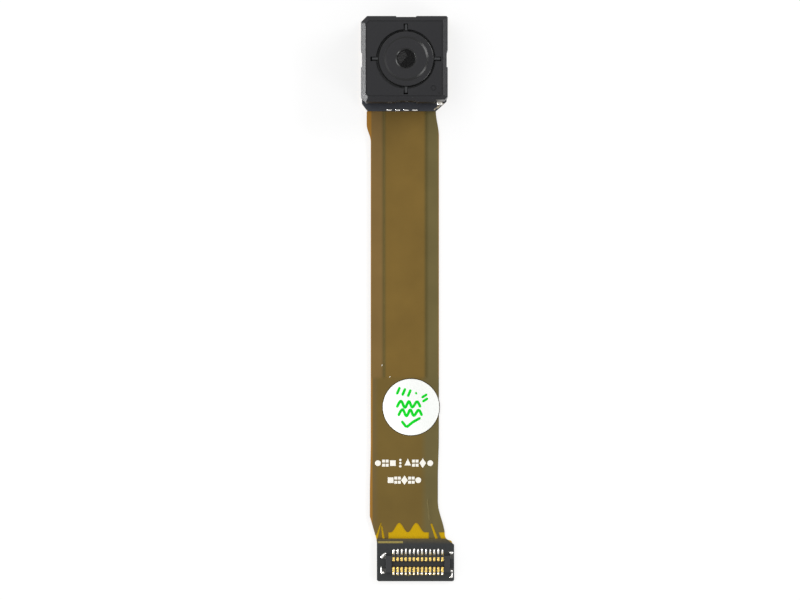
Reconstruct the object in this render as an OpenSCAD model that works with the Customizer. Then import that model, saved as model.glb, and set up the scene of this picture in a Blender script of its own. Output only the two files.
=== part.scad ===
// Autofocus camera module on a flexible printed circuit that ends in a board-to-board plug.
// The origin is on the optical axis, on the module's back face. +Z is the way the lens looks,
// and the flexible circuit runs from the module towards -Y. All sizes are in millimetres.

/* [Flexible circuit] */
// Thickness of the plates behind the two rigid ends
stiffener_t = 0.15; // [0.1:0.05:0.3]
// Thickness of each film of the flexible circuit
film_t = 0.06; // [0.04:0.01:0.1]
// Rise of the cover film over the copper ground plane
land_rise = 0.015; // [0.01:0.005:0.03]
// Width of the copper ground plane
land_w = 4.05; // [3.4:0.1:4.4]
// Length of the copper ground plane
land_len = 26.3; // [20:0.1:26.5]
// Width of the straight run of the flexible circuit
flex_w = 6.72; // [6.4:0.04:7.2]
// Length between the two rigid ends
flex_len = 42.15; // [40:0.05:50]
// How far the left edge flares out where the run leaves the sensor board
root_flare = 0.41; // [0.1:0.01:0.6]
// How far the right edge draws in where the run leaves the sensor board
root_inset = 0.3; // [0.1:0.02:0.5]
// Length of the flare at the sensor board
root_len = 3; // [2:0.1:5]
// Length of the flare's straight part next to the board
root_straight = 1.3; // [0.5:0.1:1.5]
// How far both edges step to the right before the plug
plug_jog = 0.7; // [0.4:0.05:0.9]
// Length of that step
jog_len = 2.9; // [2.4:0.1:5]
// Height of the bare base film before the plug board
bare_h = 0.62; // [0.4:0.02:0.9]
// Height of the two scallops above the bare film's edge
scallop_h = 0.94; // [0.4:0.02:1.2]
// Distance between the two scallops
scallop_pitch = 1.66; // [1.2:0.02:1.8]
// Diameter of the inspection label
label_d = 5.56; // [4:0.1:6]
// Thickness of the inspection label
label_t = 0.06; // [0.04:0.01:0.12]

/* [Plug] */
// Width of the plug board
plug_board_w = 7.62; // [7.5:0.02:9]
// Depth of the plug board
plug_board_d = 4.2; // [3.9:0.02:5]
// Thickness of the plug board over the base film
plug_board_t = 0.21; // [0.12:0.01:0.4]
// Cut corner of the plug board, across its width
plug_cut_x = 0.8; // [0.3:0.05:0.85]
// Cut corner of the plug board, along its depth
plug_cut_y = 0.6; // [0.3:0.05:0.7]
// Contacts in each row
contacts = 13; // [10:1:13]
// Distance between contacts
contact_pitch = 0.4; // [0.35:0.01:0.42]
// Width of a contact
contact_w = 0.2; // [0.16:0.01:0.22]
// Thickness of the contact strip
contact_t = 0.06; // [0.04:0.01:0.08]
// Depth of the plug housing
plug_d = 1.64; // [1.6:0.02:1.9]
// Height of the plug housing
plug_h = 0.7; // [0.6:0.05:1]
// Floor thickness of the plug housing
plug_floor = 0.2; // [0.15:0.05:0.3]
// Wall thickness of the plug housing's long walls
plug_wall = 0.49; // [0.45:0.01:0.6]
// Wall thickness outside the slits that hold the contacts
slit_wall = 0.12; // [0.1:0.01:0.2]
// Length of a contact's solder tail beyond the housing
tail_len = 0.3; // [0.2:0.02:0.5]
// Length of the housing beyond the last contact
plug_end = 0.75; // [0.5:0.05:0.9]
// Length of a hold-down's solder foot, away from the housing and along it
foot_size = [0.3, 0.46]; // [0.2:0.02:0.5]

/* [Sensor board] */
// How much narrower than the cover the sensor board is
board_in = 0.1; // [0:0.02:0.2]
// How far the sensor board reaches beyond the cover at the back
board_out = 0.2; // [0.16:0.02:0.4]
// Thickness of the sensor board over the flexible circuit
board_t = 0.35; // [0.2:0.05:0.5]
// Length of the sensor board's tail beyond the square part
tail_l = 0.72; // [0.6:0.02:1.2]
// Length of the cut at the tail's right side
tail_cut = 0.95; // [0.75:0.05:1.1]
// Cut at the board's left corner at the back
board_cut = 0.55; // [0.3:0.05:0.8]
// Width and height of the image sensor
sensor_size = [5.0, 4.6]; // [4:0.1:5.4]
// Thickness of the image sensor
sensor_t = 0.2; // [0.15:0.01:0.25]
// Bond wires on each side of the sensor
bond_wires = 12; // [6:1:14]
// Wires' distance from each other
bond_pitch = 0.34; // [0.2:0.02:0.36]
// Decoupling capacitors on the board
capacitors_n = 5; // [2:1:6]
// Soldering lands on the tail
pad_n = 4; // [2:1:5]
// Distance between the soldering lands
pad_pitch = 0.84; // [0.7:0.02:1]

/* [Filter holder] */
// How far each side of the filter holder stands back from the cover
holder_in = 0.12; // [0.05:0.01:0.2]
// Height of the filter holder
holder_h = 0.8; // [0.75:0.05:1]
// Room round the sensor inside the holder, beside it and above and below it
sensor_room = [0.55, 1.0]; // [0.4:0.05:1.1]
// Thickness of the holder's roof
holder_roof = 0.4; // [0.35:0.01:0.42]
// Width and height of the light window
window_size = [4.6, 4.0]; // [3.8:0.1:4.6]
// Thickness of the infrared filter
filter_t = 0.21; // [0.15:0.01:0.25]
// Ledge that carries the filter round the window
filter_ledge = 0.3; // [0.2:0.05:0.35]

/* [Actuator cover] */
// Width of the cover
cover_w = 8.45; // [8.4:0.05:9]
// Depth of the cover
cover_d = 8.35; // [8.25:0.05:9]
// Height of the cover from its rim to its face
cover_h = 3.3; // [3.25:0.05:3.6]
// Wall thickness of the drawn cover
cover_wall = 0.2; // [0.15:0.01:0.22]
// Thickness of the cover's front
cover_front = 0.28; // [0.2:0.02:0.32]
// Bevel round the front
cover_bevel = 0.46; // [0.3:0.02:0.48]
// How far the optical axis stands right of the cover's middle
axis_dx = 0.18; // [0:0.02:0.2]
// How far the optical axis stands above the cover's middle
axis_dy = 0; // [0:0.01:0.1]
// Depth of the pressed recess in the middle of each side
recess_depth = 0.1; // [0.04:0.01:0.12]
// Width of the recesses in the top and bottom sides
recess_w = 1.9; // [1:0.1:2.2]
// Width of the recesses in the left and right sides
side_recess_w = 1.56; // [1:0.04:2]
// Gap between the lens flange and the cover's opening
opening_gap = 0.19; // [0.17:0.01:0.2]
// How far the opening and its slots stand left of and below the lens
opening_off = 0.04; // [0:0.01:0.05]
// Width of the four slots at the opening
slot_w = 0.42; // [0.4:0.02:0.6]
// Width and depth of the groove along the inner edge of the bevel
groove = [0.1, 0.06]; // [0.04:0.01:0.12]
// Width and depth of the corner notch over the front terminal
front_notch = [1.15, 0.2]; // [0.1:0.05:1.3]

/* [Autofocus drive] */
// Thickness of the base's rim below the cover
base_rim = 0.18; // [0.12:0.02:0.3]
// Height of the base's plate above its rim
base_plate = 0.12; // [0.08:0.02:0.2]
// Height of the base's corner seats above its plate
seat_h = 0.18; // [0.12:0.02:0.26]
// Height of the base's heat-staked pegs above the seats
peg_h = 0.22; // [0.1:0.02:0.3]
// Thickness of the leaf springs
spring_t = 0.04; // [0.03:0.01:0.06]
// Width of the spring arms
arm_w = 0.07; // [0.05:0.01:0.08]
// Width of the spring and spacer frames where they are narrowest
frame_edge = 0.3; // [0.2:0.01:0.4]
// Wall thickness of the lens carrier
carrier_wall = 0.45; // [0.35:0.01:0.46]
// Thickness of the coil's winding
coil_w = 0.3; // [0.2:0.01:0.31]
// Height of the coil
coil_h = 1.25; // [0.9:0.05:1.35]
// Gap between the coil and the magnets
magnet_gap = 0.17; // [0.15:0.01:0.25]
// Height of the magnets
magnet_h = 1.7; // [1.3:0.05:1.8]
// Height of the frame between the upper spring and the cover
spacer_h = 0.4; // [0.38:0.01:0.45]
// Width of the carrier's four guide ribs
rib_w = 0.22; // [0.16:0.02:0.26]
// Length of a guide rib beyond the lens flange
rib_len = 0.62; // [0.5:0.02:0.64]
// Width of the foot under a guide rib
rib_foot_w = 0.8; // [0.6:0.05:1]
// Width of the two coil terminals
terminal_w = 0.55; // [0.4:0.05:0.6]
// Thickness of the terminals
terminal_t = 0.12; // [0.08:0.01:0.15]
// How far the terminals stand in from the cover's right side
terminal_in_x = 0.5; // [0.45:0.05:0.6]

/* [Lens] */
// How far the front flange stands out over the barrel's threaded body
flange_lip = 0.21; // [0.15:0.01:0.22]
// Thickness of the front flange
flange_t = 0.2; // [0.15:0.01:0.25]
// How far the raised front boss stands back from the flange's edge
boss_in = 0.74; // [0.4:0.01:0.9]
// Height of the boss above the flange
boss_h = 0.15; // [0.1:0.01:0.25]
// Width of the boss's sloped flank
boss_flank = 0.2; // [0.05:0.01:0.25]
// Width and depth of the chamfer on the flange's edge
flange_chamfer = [0.09, 0.06]; // [0.03:0.01:0.1]
// How far the boss stands proud of the cover
boss_proud = 0.1; // [0:0.02:0.2]
// Radius of the aperture
aperture_r = 0.88; // [0.7:0.02:0.94]
// Width and depth of the bevel round the aperture
aperture_bevel = [0.17, 0.1]; // [0.05:0.01:0.18]
// Wall of the barrel round the last lens element
barrel_wall = 0.27; // [0.2:0.01:0.4]
// How much wider each element's radius is than the one in front of it
lens_step_r = 0.25; // [0.15:0.01:0.25]
// Edge thickness of the front lens element
front_lens_t = 0.4; // [0.3:0.01:0.5]
// Edge thickness of the second lens element
second_lens_t = 0.38; // [0.3:0.01:0.5]
// Edge thickness of the third lens element
third_lens_t = 0.44; // [0.3:0.01:0.5]
// Edge thickness of the rear lens element
rear_lens_t = 0.5; // [0.4:0.01:0.6]
// Thickness of the light stops between the elements
stop_t = 0.06; // [0.04:0.01:0.08]
// Height of the ring that holds the last element
retainer_h = 0.42; // [0.3:0.02:0.5]
// Focus travel of the lens group
focus_travel = 0.3; // [0.2:0.01:0.3]

/* [Hidden] */
$fn = 64;

// Clearances
fit = 0.03;           // between parts that slide together at assembly
fine_fit = 0.02;      // round the lens elements and the coil
rest_gap = 0.02;      // between the resting carrier and its stop
rib_gap = 0.06;       // between a guide rib's top and the face
slot_end = 0.1;       // beyond the end of a guide rib
focus_gap = 0.1;      // between the carrier's rim and the lens flange

// Heights, from the back face
z_flex = stiffener_t;
z_cover_film = z_flex + film_t;
z_board = z_cover_film + film_t;
z_board_top = z_board + board_t;
z_holder_top = z_board_top + holder_h;
z_rim = z_holder_top + base_rim;
z_plate = z_rim + base_plate;
z_low_spring = z_plate + seat_h;
z_carrier = z_low_spring + spring_t;
z_face = z_rim + cover_h;
z_cover_in = z_face - cover_front;
z_up_spring = z_cover_in - spacer_h - spring_t;
z_magnet = z_up_spring - magnet_h;
z_rib = z_up_spring + spring_t;
z_boss = z_face + boss_proud;
z_flange = z_boss - boss_h;
z_flange_back = z_flange - flange_t;
z_crown = z_flange_back - focus_gap;
z_plug_board_top = z_cover_film + plug_board_t;

// Radii about the optical axis, from the cover's nearest wall inwards
inner_inset = cover_wall + fit;
arm_room = 0.05;
collar_w = 0.2;
base_lip = 0.08;
frame_r = min(cover_w / 2 - axis_dx, cover_d / 2 - axis_dy) - inner_inset - frame_edge;
magnet_r = frame_r - arm_room;
coil_r = magnet_r - magnet_gap;
coil_in_r = coil_r - coil_w;
carrier_flange_r = coil_r + fine_fit;
carrier_flange_t = 0.25;
coil_lip_t = 0.15;
coil_lip_in = 0.12;
tube_r = coil_in_r - fine_fit;
bore_r = tube_r - carrier_wall;
barrel_r = bore_r - fit;
base_open_r = bore_r - base_lip;
collar_r = base_open_r + collar_w;
flange_r = barrel_r + flange_lip;
boss_r = flange_r - boss_in;
opening_r = flange_r + opening_gap;
opening_at = [-opening_off, -opening_off];
rib_r = flange_r + rib_len;
slot_r = rib_r + slot_end;
rib_inner_r = flange_r + fit;
rib_foot_t = 0.06;

// Middle of the cover, the sensor board and everything square
mid = [-axis_dx, -axis_dy];
peg_r = 0.18;
peg_inset = 0.62;
corner_left_top = 0.6;
corner_left_bottom = 0.5;
corner_right_top = 0.12;
corner_right_bottom = 0.3;
recess_slope = 0.05;

// The flexible circuit's run
waist = 0.1;            // how far each edge draws in along the stretch before the plug
board_w = cover_w - board_in;
board_front = mid[1] - cover_d / 2 + board_in / 2;
board_back = mid[1] + cover_d / 2 + board_out;
tail_front = board_front - tail_l;
flex_mid = mid[0] + 0.06;
flex_left = flex_mid - flex_w / 2;
flex_right = flex_mid + flex_w / 2;
plug_edge = tail_front - flex_len;
plug_board_left = flex_left + plug_jog - waist;
plug_board_right = plug_board_left + plug_board_w;
plug_board_front = plug_edge - plug_board_d;
plug_corner_r = 0.2;
land_mid = flex_mid;
land_start = tail_front;
label_gap = 0.1;
label_at = [flex_right - label_d / 2 + 0.03, tail_front - land_len - label_d / 2 - label_gap];
scallop_left = flex_mid - 0.54;

// The plug's place and size
contact_span = (contacts - 1) * contact_pitch;
plug_w = contact_span + 2 * plug_end;
plug_at = [plug_board_left + plug_board_w / 2 + 0.24, plug_board_front + plug_board_d / 2 - 0.35];

// Lens stack
lens_ts = [front_lens_t, second_lens_t, third_lens_t, rear_lens_t];
lens_count = len(lens_ts);
stop_face_t = 0.1;
z_stop_face = z_flange - stop_face_t;
last_lens_r = barrel_r - barrel_wall - fine_fit;
lens_rs = [for (i = [0:lens_count - 1]) last_lens_r - (lens_count - 1 - i) * lens_step_r];
function stack(i) = i == 0 ? 0 : stack(i - 1) + lens_ts[i - 1] + stop_t;
lens_tops = [for (i = [0:lens_count - 1]) z_stop_face - stack(i)];
z_last = lens_tops[lens_count - 1] - lens_ts[lens_count - 1];
z_retainer = z_last - retainer_h;
barrel_skirt_h = 0.05;
z_barrel = z_retainer - barrel_skirt_h;
edge_land_w = 0.42;                         // flat edge of an element outside its curved faces
dome_h = 0.12;                              // deepest rise of a curved face at the axis
front_domes = [1, -0.5, -0.8, -1.6];        // rise of each front face, in dome heights
back_domes = [-0.7, 0.8, 1.3, -0.8];        // fall of each back face, in dome heights

// ---------- shared shapes ----------

function ease(t) = t * t * (3 - 2 * t);

// Smooth step from point p to point q, running along Y
function s_bend(p, q, n = 8) =
    [for (i = [0:n]) [p[0] + (q[0] - p[0]) * ease(i / n), p[1] + (q[1] - p[1]) * i / n]];

// What is left of a corner cut when the outline is drawn in
function cut_left(cut, inset) = max(cut - inset * (2 - sqrt(2)), 0.03);

// Outline of the cover without its side recesses, drawn in by inset. A notch at the front
// right corner keeps the wall even.
function plain_outline(inset, notch = [0, 0]) =
    let (
        hx = cover_w / 2 - inset,
        hy = cover_d / 2 - inset,
        rt = cut_left(corner_right_top, inset),
        lt = cut_left(corner_left_top, inset),
        lb = cut_left(corner_left_bottom, inset),
        rb = cut_left(corner_right_bottom, inset),
        low = -hy + notch[1]
    )
    [for (p = concat(
        [[hx - rb, low], [hx, low + rb], [hx, hy - rt], [hx - rt, hy],
         [-hx + lt, hy], [-hx, hy - lt], [-hx, -hy + lb], [-hx + lb, -hy]],
        notch[0] > 0 ? [[hx - notch[0], -hy], [hx - notch[0], low]] : []
    )) p + mid];

// Distances from the optical axis to the cover's right, back, left and front side
side_reach = [cover_w / 2 - axis_dx, cover_d / 2 - axis_dy,
              cover_w / 2 + axis_dx, cover_d / 2 + axis_dy];

// The pressed recess in the middle of each side, for an outline drawn in by inset
module side_recesses(inset) {
    for (k = [0:3]) {
        half = (k % 2 == 0 ? side_recess_w : recess_w) / 2 + inset;
        foot = half + recess_slope;
        rotate(90 * k)
            translate([side_reach[k] - inset, 0])
                polygon([[1, -foot], [0, -foot], [-recess_depth, -half],
                         [-recess_depth, half], [0, foot], [1, foot]]);
    }
}

// A prism of the cover's outline between two heights
module cover_prism(inset, z0, z1) {
    translate([0, 0, z0])
        linear_extrude(z1 - z0)
            difference() {
                polygon(plain_outline(inset, front_notch));
                side_recesses(inset);
            }
}

// A box given by its middle in plan, its size in plan and two heights
module slab(at, size, z0, z1) {
    translate([at[0] - size[0] / 2, at[1] - size[1] / 2, z0])
        cube([size[0], size[1], z1 - z0]);
}

// A disc or a ring about the optical axis
module ring(outer, inner, z0, z1) {
    difference() {
        translate([0, 0, z0])
            cylinder(r = outer, h = z1 - z0);
        if (inner > 0)
            translate([0, 0, z0 - 1])
                cylinder(r = inner, h = z1 - z0 + 2);
    }
}

// Everything inside a leaf spring's frame, cut away
module round_window(r, z0, z1) {
    translate([0, 0, z0 - 0.5])
        cylinder(r = r, h = z1 - z0 + 1);
}

// The four corners' directions
corners = [[1, 1], [-1, 1], [-1, -1], [1, -1]];
function peg_at(c) = mid + [c[0] * (cover_w / 2 - inner_inset - peg_inset),
                            c[1] * (cover_d / 2 - inner_inset - peg_inset)];

// ---------- circuit ----------

// Plan of the sensor board: a square with a tapering tail at the flexible circuit, and one
// corner cut as the cover's is
board_left = mid[0] - board_w / 2;
board_right = mid[0] + board_w / 2;
tail_left = flex_left - root_flare + 0.08;
tail_right = flex_right - root_inset;
function board_plan() = [
    [board_left + board_cut, board_back], [board_left, board_back - board_cut],
    [board_left, board_front], [tail_left, tail_front], [tail_right, tail_front],
    [board_right, tail_front + tail_cut], [board_right, board_back]
];

// Plan of the plug board: a rectangle with one cut corner and two round ones
function plug_plan() = concat(
    [[plug_board_left, plug_edge]],
    [for (a = [180:15:270])
        [plug_board_left + plug_corner_r + plug_corner_r * cos(a),
         plug_board_front + plug_corner_r + plug_corner_r * sin(a)]],
    [for (a = [-90:15:0])
        [plug_board_right - plug_corner_r + plug_corner_r * cos(a),
         plug_board_front + plug_corner_r + plug_corner_r * sin(a)]],
    [[plug_board_right, plug_edge - plug_cut_y], [plug_board_right - plug_cut_x, plug_edge]]
);

// Plan of the run between the two boards, from the board's tail to the plug's edge
film_rim = 0.06;
function run_plan() = concat(
    [[flex_left - root_flare, tail_front]],
    s_bend([flex_left - root_flare, tail_front - root_straight],
           [flex_left, tail_front - root_len]),
    s_bend([flex_left, plug_edge + 10], [flex_left - waist, plug_edge + jog_len + 1]),
    [[flex_left - waist, plug_edge + jog_len - 0.7], [plug_board_left - film_rim, plug_edge]],
    [[plug_board_right - plug_cut_x, plug_edge]],
    s_bend([plug_board_right - plug_cut_x - 0.1, plug_edge + 0.25],
           [flex_right - waist, plug_edge + jog_len + 0.7], 6),
    s_bend([flex_right - waist, plug_edge + 6], [flex_right, plug_edge + 10]),
    s_bend([flex_right, tail_front - root_len + 0.6], [flex_right - root_inset, tail_front])
);

module back_stiffener() {
    color([0.62, 0.62, 0.60])
        linear_extrude(stiffener_t)
            polygon(board_plan());
}

module plug_stiffener() {
    color([0.20, 0.21, 0.20])
        linear_extrude(stiffener_t)
            polygon(plug_plan());
}

module base_film() {
    color([0.75, 0.60, 0.10])
        translate([0, 0, z_flex])
            linear_extrude(film_t)
                union() {
                    polygon(board_plan());
                    polygon(run_plan());
                    polygon(plug_plan());
                    film_shoulders();
                }
}

// Where the base film stands out round the upper corners of the plug board
module film_shoulders() {
    polygon([[plug_board_left - film_rim, plug_edge], [plug_board_left, plug_edge - 7 * film_rim],
             [plug_board_left + film_rim, plug_edge]]);
    inner = [plug_board_right - plug_cut_x - film_rim, plug_edge - plug_cut_y - film_rim];
    polygon([inner, [plug_board_right - film_rim, inner[1]],
             [plug_board_right - plug_cut_x * 0.36, plug_edge - plug_cut_y * 0.36],
             [inner[0], plug_edge - film_rim]]);
}

// The upper edge of the bare film: two round scallops between square shoulders
bare_left = scallop_left - scallop_pitch / 2 - 0.26;
bare_right = scallop_left + scallop_pitch * 1.5 + 0.43;
function scallop(x) =
    let (t = (x - scallop_left) / scallop_pitch)
    t < -0.5 || t > 1.5 ? 0 : scallop_h * (1 + cos(360 * t)) / 2;
scallop_n = 24;
function scallop_edge() =
    [for (i = [0:scallop_n])
        let (x = scallop_left + scallop_pitch * (2 * i / scallop_n - 0.5))
        [x, plug_edge + bare_h + scallop(x)]];

// Openings in the cover film that leave the base film bare
module bare_windows() {
    top = plug_edge + bare_h;
    low = plug_edge - 1;
    polygon(concat([[bare_left, low], [bare_left, top]], scallop_edge(),
                   [[bare_right, top], [bare_right, low]]));
    tip = plug_edge + bare_h + scallop_h;
    left = bare_left - 0.7;
    polygon([[left - 0.06, tip], [left + 0.04, tip], [left - 0.36, plug_edge], [left - 0.36, low],
             [left - 1.2, low], [left - 1.2, top], [left - 0.88, top - 0.08], [left - 0.5, top - 0.3]]);
    polygon([[left - 0.02, tip - 0.3], [left + 0.08, tip - 0.25], [left + 0.36, plug_edge],
             [left + 0.36, low], [left + 0.1, low], [left + 0.1, plug_edge]]);
    right = bare_right + 0.14;
    polygon([[right, tip - 0.12], [right + 0.16, tip - 0.06], [right + 0.76, plug_edge],
             [right + 0.76, low], [right + 0.46, low], [right + 0.46, plug_edge]]);
    polygon([[right + 0.82, top], [right + 2.2, top], [right + 2.2, low], [right + 1.05, low],
             [right + 1.05, plug_edge]]);
}

module cover_film() {
    color([0.42, 0.34, 0.17]) {
        translate([0, 0, z_cover_film])
            linear_extrude(film_t)
                difference() {
                    union() {
                        polygon(board_plan());
                        polygon(run_plan());
                    }
                    bare_windows();
                }
        translate([land_mid - land_w / 2, land_start - land_len, z_board])
            cube([land_w, land_len, land_rise]);
    }
}

module sensor_board() {
    color([0.12, 0.14, 0.17])
        translate([0, 0, z_board])
            linear_extrude(board_t)
                polygon(board_plan());
}

module plug_board() {
    color([0.16, 0.17, 0.16])
        translate([0, 0, z_cover_film])
            linear_extrude(plug_board_t)
                polygon(plug_plan());
}

// A thin row of solderable lands at the edge of the tail
pad_size = [0.5, 0.17];
pad_t = 0.02;
pad_mid = [flex_mid - 0.28, tail_front + 0.12];
module soldering_lands() {
    color([0.86, 0.85, 0.80])
        for (i = [0:pad_n - 1])
            slab(pad_mid + [(i - (pad_n - 1) / 2) * pad_pitch, 0], pad_size,
                 z_board_top, z_board_top + pad_t);
}

// ---------- image sensor ----------

z_sensor_top = z_board_top + sensor_t;

module image_sensor() {
    color([0.18, 0.30, 0.34])
        slab([0, 0], sensor_size, z_board_top, z_sensor_top);
}

// One looped wire from the sensor's edge down to the board, as a thin strip
wire_w = 0.03;
wire_loop_h = 0.08;
wire_run_l = 0.3;
wire_land_w = 0.1;
wire_shoulder_w = 0.2;
module bonding_wire() {
    x0 = sensor_size[0] / 2 - wire_land_w;
    x1 = sensor_size[0] / 2 + wire_run_l;
    z1 = z_sensor_top + wire_loop_h;
    rotate([90, 0, 0])
        linear_extrude(wire_w, center = true)
            polygon([
                [x0, z_sensor_top], [x0, z1], [x0 + wire_w, z1 + wire_w],
                [x0 + wire_shoulder_w, z1 + wire_w], [x1 + wire_w, z_board_top], [x1, z_board_top],
                [x0 + wire_shoulder_w - wire_w, z1], [x0 + wire_w, z1], [x0 + wire_w, z_sensor_top]
            ]);
}

module bonding_wires() {
    color([0.90, 0.75, 0.35])
        for (side = [0, 180])
            for (i = [0:bond_wires - 1])
                rotate([0, 0, side])
                    translate([0, (i - (bond_wires - 1) / 2) * bond_pitch, 0])
                        bonding_wire();
}

chip_size = [1.6, 0.7];
chip_t = 0.3;
module focus_driver_chip() {
    color([0.10, 0.10, 0.11])
        slab([chip_size[0] / 2, (sensor_size[1] + sensor_room[1]) / 2], chip_size,
             z_board_top, z_board_top + chip_t);
}

capacitor_size = [0.6, 0.3];
capacitor_pitch = 0.85;
module capacitors() {
    color([0.62, 0.50, 0.38])
        for (i = [0:capacitors_n - 1])
            slab([(i - (capacitors_n - 1) / 2) * capacitor_pitch,
                  -(sensor_size[1] + sensor_room[1]) / 2],
                 capacitor_size, z_board_top, z_board_top + capacitor_size[1]);
}

// ---------- filter holder ----------

filter_size = [window_size[0] + 2 * filter_ledge, window_size[1] + 2 * filter_ledge];

module filter_holder() {
    z_roof = z_holder_top - holder_roof;
    color([0.13, 0.13, 0.14])
        difference() {
            translate([0, 0, z_board_top])
                linear_extrude(holder_h)
                    polygon(plain_outline(holder_in, front_notch));
            slab([0, 0], sensor_size + 2 * sensor_room, z_board_top - 1, z_roof);
            slab([0, 0], window_size, z_board_top, z_holder_top + 1);
            slab([0, 0], filter_size + [2 * fit, 2 * fit], z_holder_top - filter_t,
                 z_holder_top + 1);
        }
}

module infrared_filter() {
    color([0.55, 0.75, 0.80, 0.5])
        slab([0, 0], filter_size, z_holder_top - filter_t, z_holder_top);
}

// ---------- autofocus drive ----------

// The channel for a terminal at one side: +1 is the back, -1 the side of the flexible circuit
terminal_x = mid[0] + cover_w / 2 - terminal_in_x - terminal_w / 2;
function side_y(side) = mid[1] + side * cover_d / 2 + (side < 0 ? front_notch[1] : 0);
terminal_in = 0.45;

module terminal_channel(side) {
    y_out = side_y(side) + side;
    y_in = side_y(side) - side * terminal_in;
    slab([terminal_x, (y_out + y_in) / 2], [terminal_w + 2 * fine_fit, abs(y_out - y_in)],
         z_rim, z_low_spring);
}

module actuator_base() {
    color([0.10, 0.10, 0.11])
        difference() {
            union() {
                cover_prism(0, z_holder_top, z_rim);
                difference() {
                    cover_prism(inner_inset, z_rim, z_low_spring);
                    round_window(frame_r, z_plate + 0.5, z_low_spring);
                }
                ring(collar_r, 0, z_plate, z_carrier - rest_gap);
                for (c = corners)
                    translate([peg_at(c)[0], peg_at(c)[1], z_low_spring])
                        cylinder(r = peg_r, h = peg_h);
            }
            translate([0, 0, z_holder_top - 1])
                cylinder(r = base_open_r, h = 4);
            for (side = [-1, 1])
                terminal_channel(side);
        }
}

// Bent strips that carry the coil current from the lower springs to the board
module coil_terminals() {
    color([0.80, 0.78, 0.70])
        for (side = [-1, 1]) {
            y = side_y(side);
            outer = y + side * terminal_t / 2;
            inner = y - side * (terminal_in - terminal_t / 2);
            slab([terminal_x, outer], [terminal_w, terminal_t], z_board_top, z_rim + terminal_t);
            slab([terminal_x, (outer + inner) / 2],
                 [terminal_w, abs(outer - inner) + terminal_t], z_rim, z_rim + terminal_t);
            slab([terminal_x, inner], [terminal_w, terminal_t], z_rim, z_low_spring);
        }
}

// A fillet of solder at the foot of each terminal
solder_foot = 0.24;
solder_rise = 0.4;
module terminal_solder() {
    color([0.88, 0.88, 0.86])
        for (side = [-1, 1])
            translate([terminal_x - terminal_w / 2, side_y(side) + side * terminal_t, z_board_top])
                rotate([90, 0, 90])
                    linear_extrude(terminal_w)
                        polygon([[0, 0], [side * solder_foot, 0], [side * solder_foot * 0.7, 0.1],
                                 [side * solder_foot * 0.25, solder_rise * 0.6], [0, solder_rise]]);
}

// One curved spring arm between the inner ring and the outer frame
arm_sweep = 58;
module spring_arm(r, ring_out, frame_in, start, z0) {
    rotate([0, 0, start])
        translate([0, 0, z0]) {
            rotate_extrude(angle = arm_sweep)
                translate([r - arm_w / 2, 0])
                    square([arm_w, spring_t]);
            translate([ring_out - 0.05, 0, 0])
                cube([r - ring_out + 0.05, 0.12, spring_t]);
            rotate([0, 0, arm_sweep])
                translate([r, -0.12, 0])
                    cube([frame_in - r + 0.1, 0.12, spring_t]);
        }
}

// A leaf spring: an outer frame, an inner ring and four arms between them
module leaf_spring(z0, ring_in, ring_out) {
    arm_r = (ring_out + frame_r) / 2;
    ring(ring_out, ring_in, z0, z0 + spring_t);
    difference() {
        cover_prism(inner_inset, z0, z0 + spring_t);
        round_window(frame_r, z0, z0 + spring_t);
    }
    for (k = [0:3])
        spring_arm(arm_r, ring_out, frame_r, 90 * k + 8, z0);
}

split_w = 0.3;
module lower_springs() {
    color([0.78, 0.62, 0.32])
        difference() {
            leaf_spring(z_low_spring, collar_r + 0.06, tube_r);
            for (c = corners)
                translate([peg_at(c)[0], peg_at(c)[1], z_low_spring - 1])
                    cylinder(r = peg_r + fine_fit, h = 2);
            slab([0, 0], [split_w, cover_d + 1], z_low_spring - 1, z_low_spring + 1);
        }
}

module upper_spring() {
    color([0.78, 0.62, 0.32])
        leaf_spring(z_up_spring, tube_r + 0.03, coil_r);
}

// A magnet in each corner: a block whose inner face looks at the coil
magnet_end = [recess_w / 2 + inner_inset + fine_fit, side_recess_w / 2 + inner_inset + fine_fit];
module corner_magnets() {
    color([0.55, 0.56, 0.58])
        for (c = corners)
            difference() {
                intersection() {
                    cover_prism(inner_inset, z_magnet, z_up_spring);
                    translate([c[0] > 0 ? magnet_end[0] : -magnet_end[0] - cover_w,
                               c[1] > 0 ? magnet_end[1] : -magnet_end[1] - cover_d, z_magnet])
                        cube([cover_w, cover_d, magnet_h]);
                }
                rotate([0, 0, atan2(c[1], c[0])])
                    translate([magnet_r - cover_w, -cover_w / 2, z_magnet - 1])
                        cube([cover_w, cover_w, magnet_h + 2]);
            }
}

module spacer_frame() {
    color([0.12, 0.12, 0.12])
        difference() {
            cover_prism(inner_inset, z_up_spring + spring_t, z_cover_in);
            round_window(frame_r, z_up_spring, z_cover_in);
        }
}

// One bevel plane along a side, at a distance from the middle of the cover
module bevel_cut(angle, distance) {
    translate([mid[0], mid[1], 0])
        rotate([0, 0, angle])
            translate([distance - cover_bevel, -cover_w, z_face])
                rotate([0, 45, 0])
                    cube([cover_w, 2 * cover_w, cover_w]);
}

// Distance from the middle to a corner's cut face
function corner_reach(cut) = (cover_w / 2 + cover_d / 2 - cut) / sqrt(2);

// The ring mark and the gate mark pressed into the face beside the opening
ring_mark_at = mid + [cover_w / 2 - 1.38, 1.3 - cover_d / 2];
gate_mark_at = mid + [cover_w / 2 - 0.85, 0.81 - cover_d / 2];
mark_depth = 0.08;
module face_marks() {
    translate([ring_mark_at[0], ring_mark_at[1], z_face - mark_depth])
        difference() {
            cylinder(r = 0.27, h = 1);
            translate([0, 0, -1])
                cylinder(r = 0.15, h = 3);
        }
    translate([gate_mark_at[0], gate_mark_at[1], z_face - mark_depth])
        cylinder(r = 0.07, h = 1);
}

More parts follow.
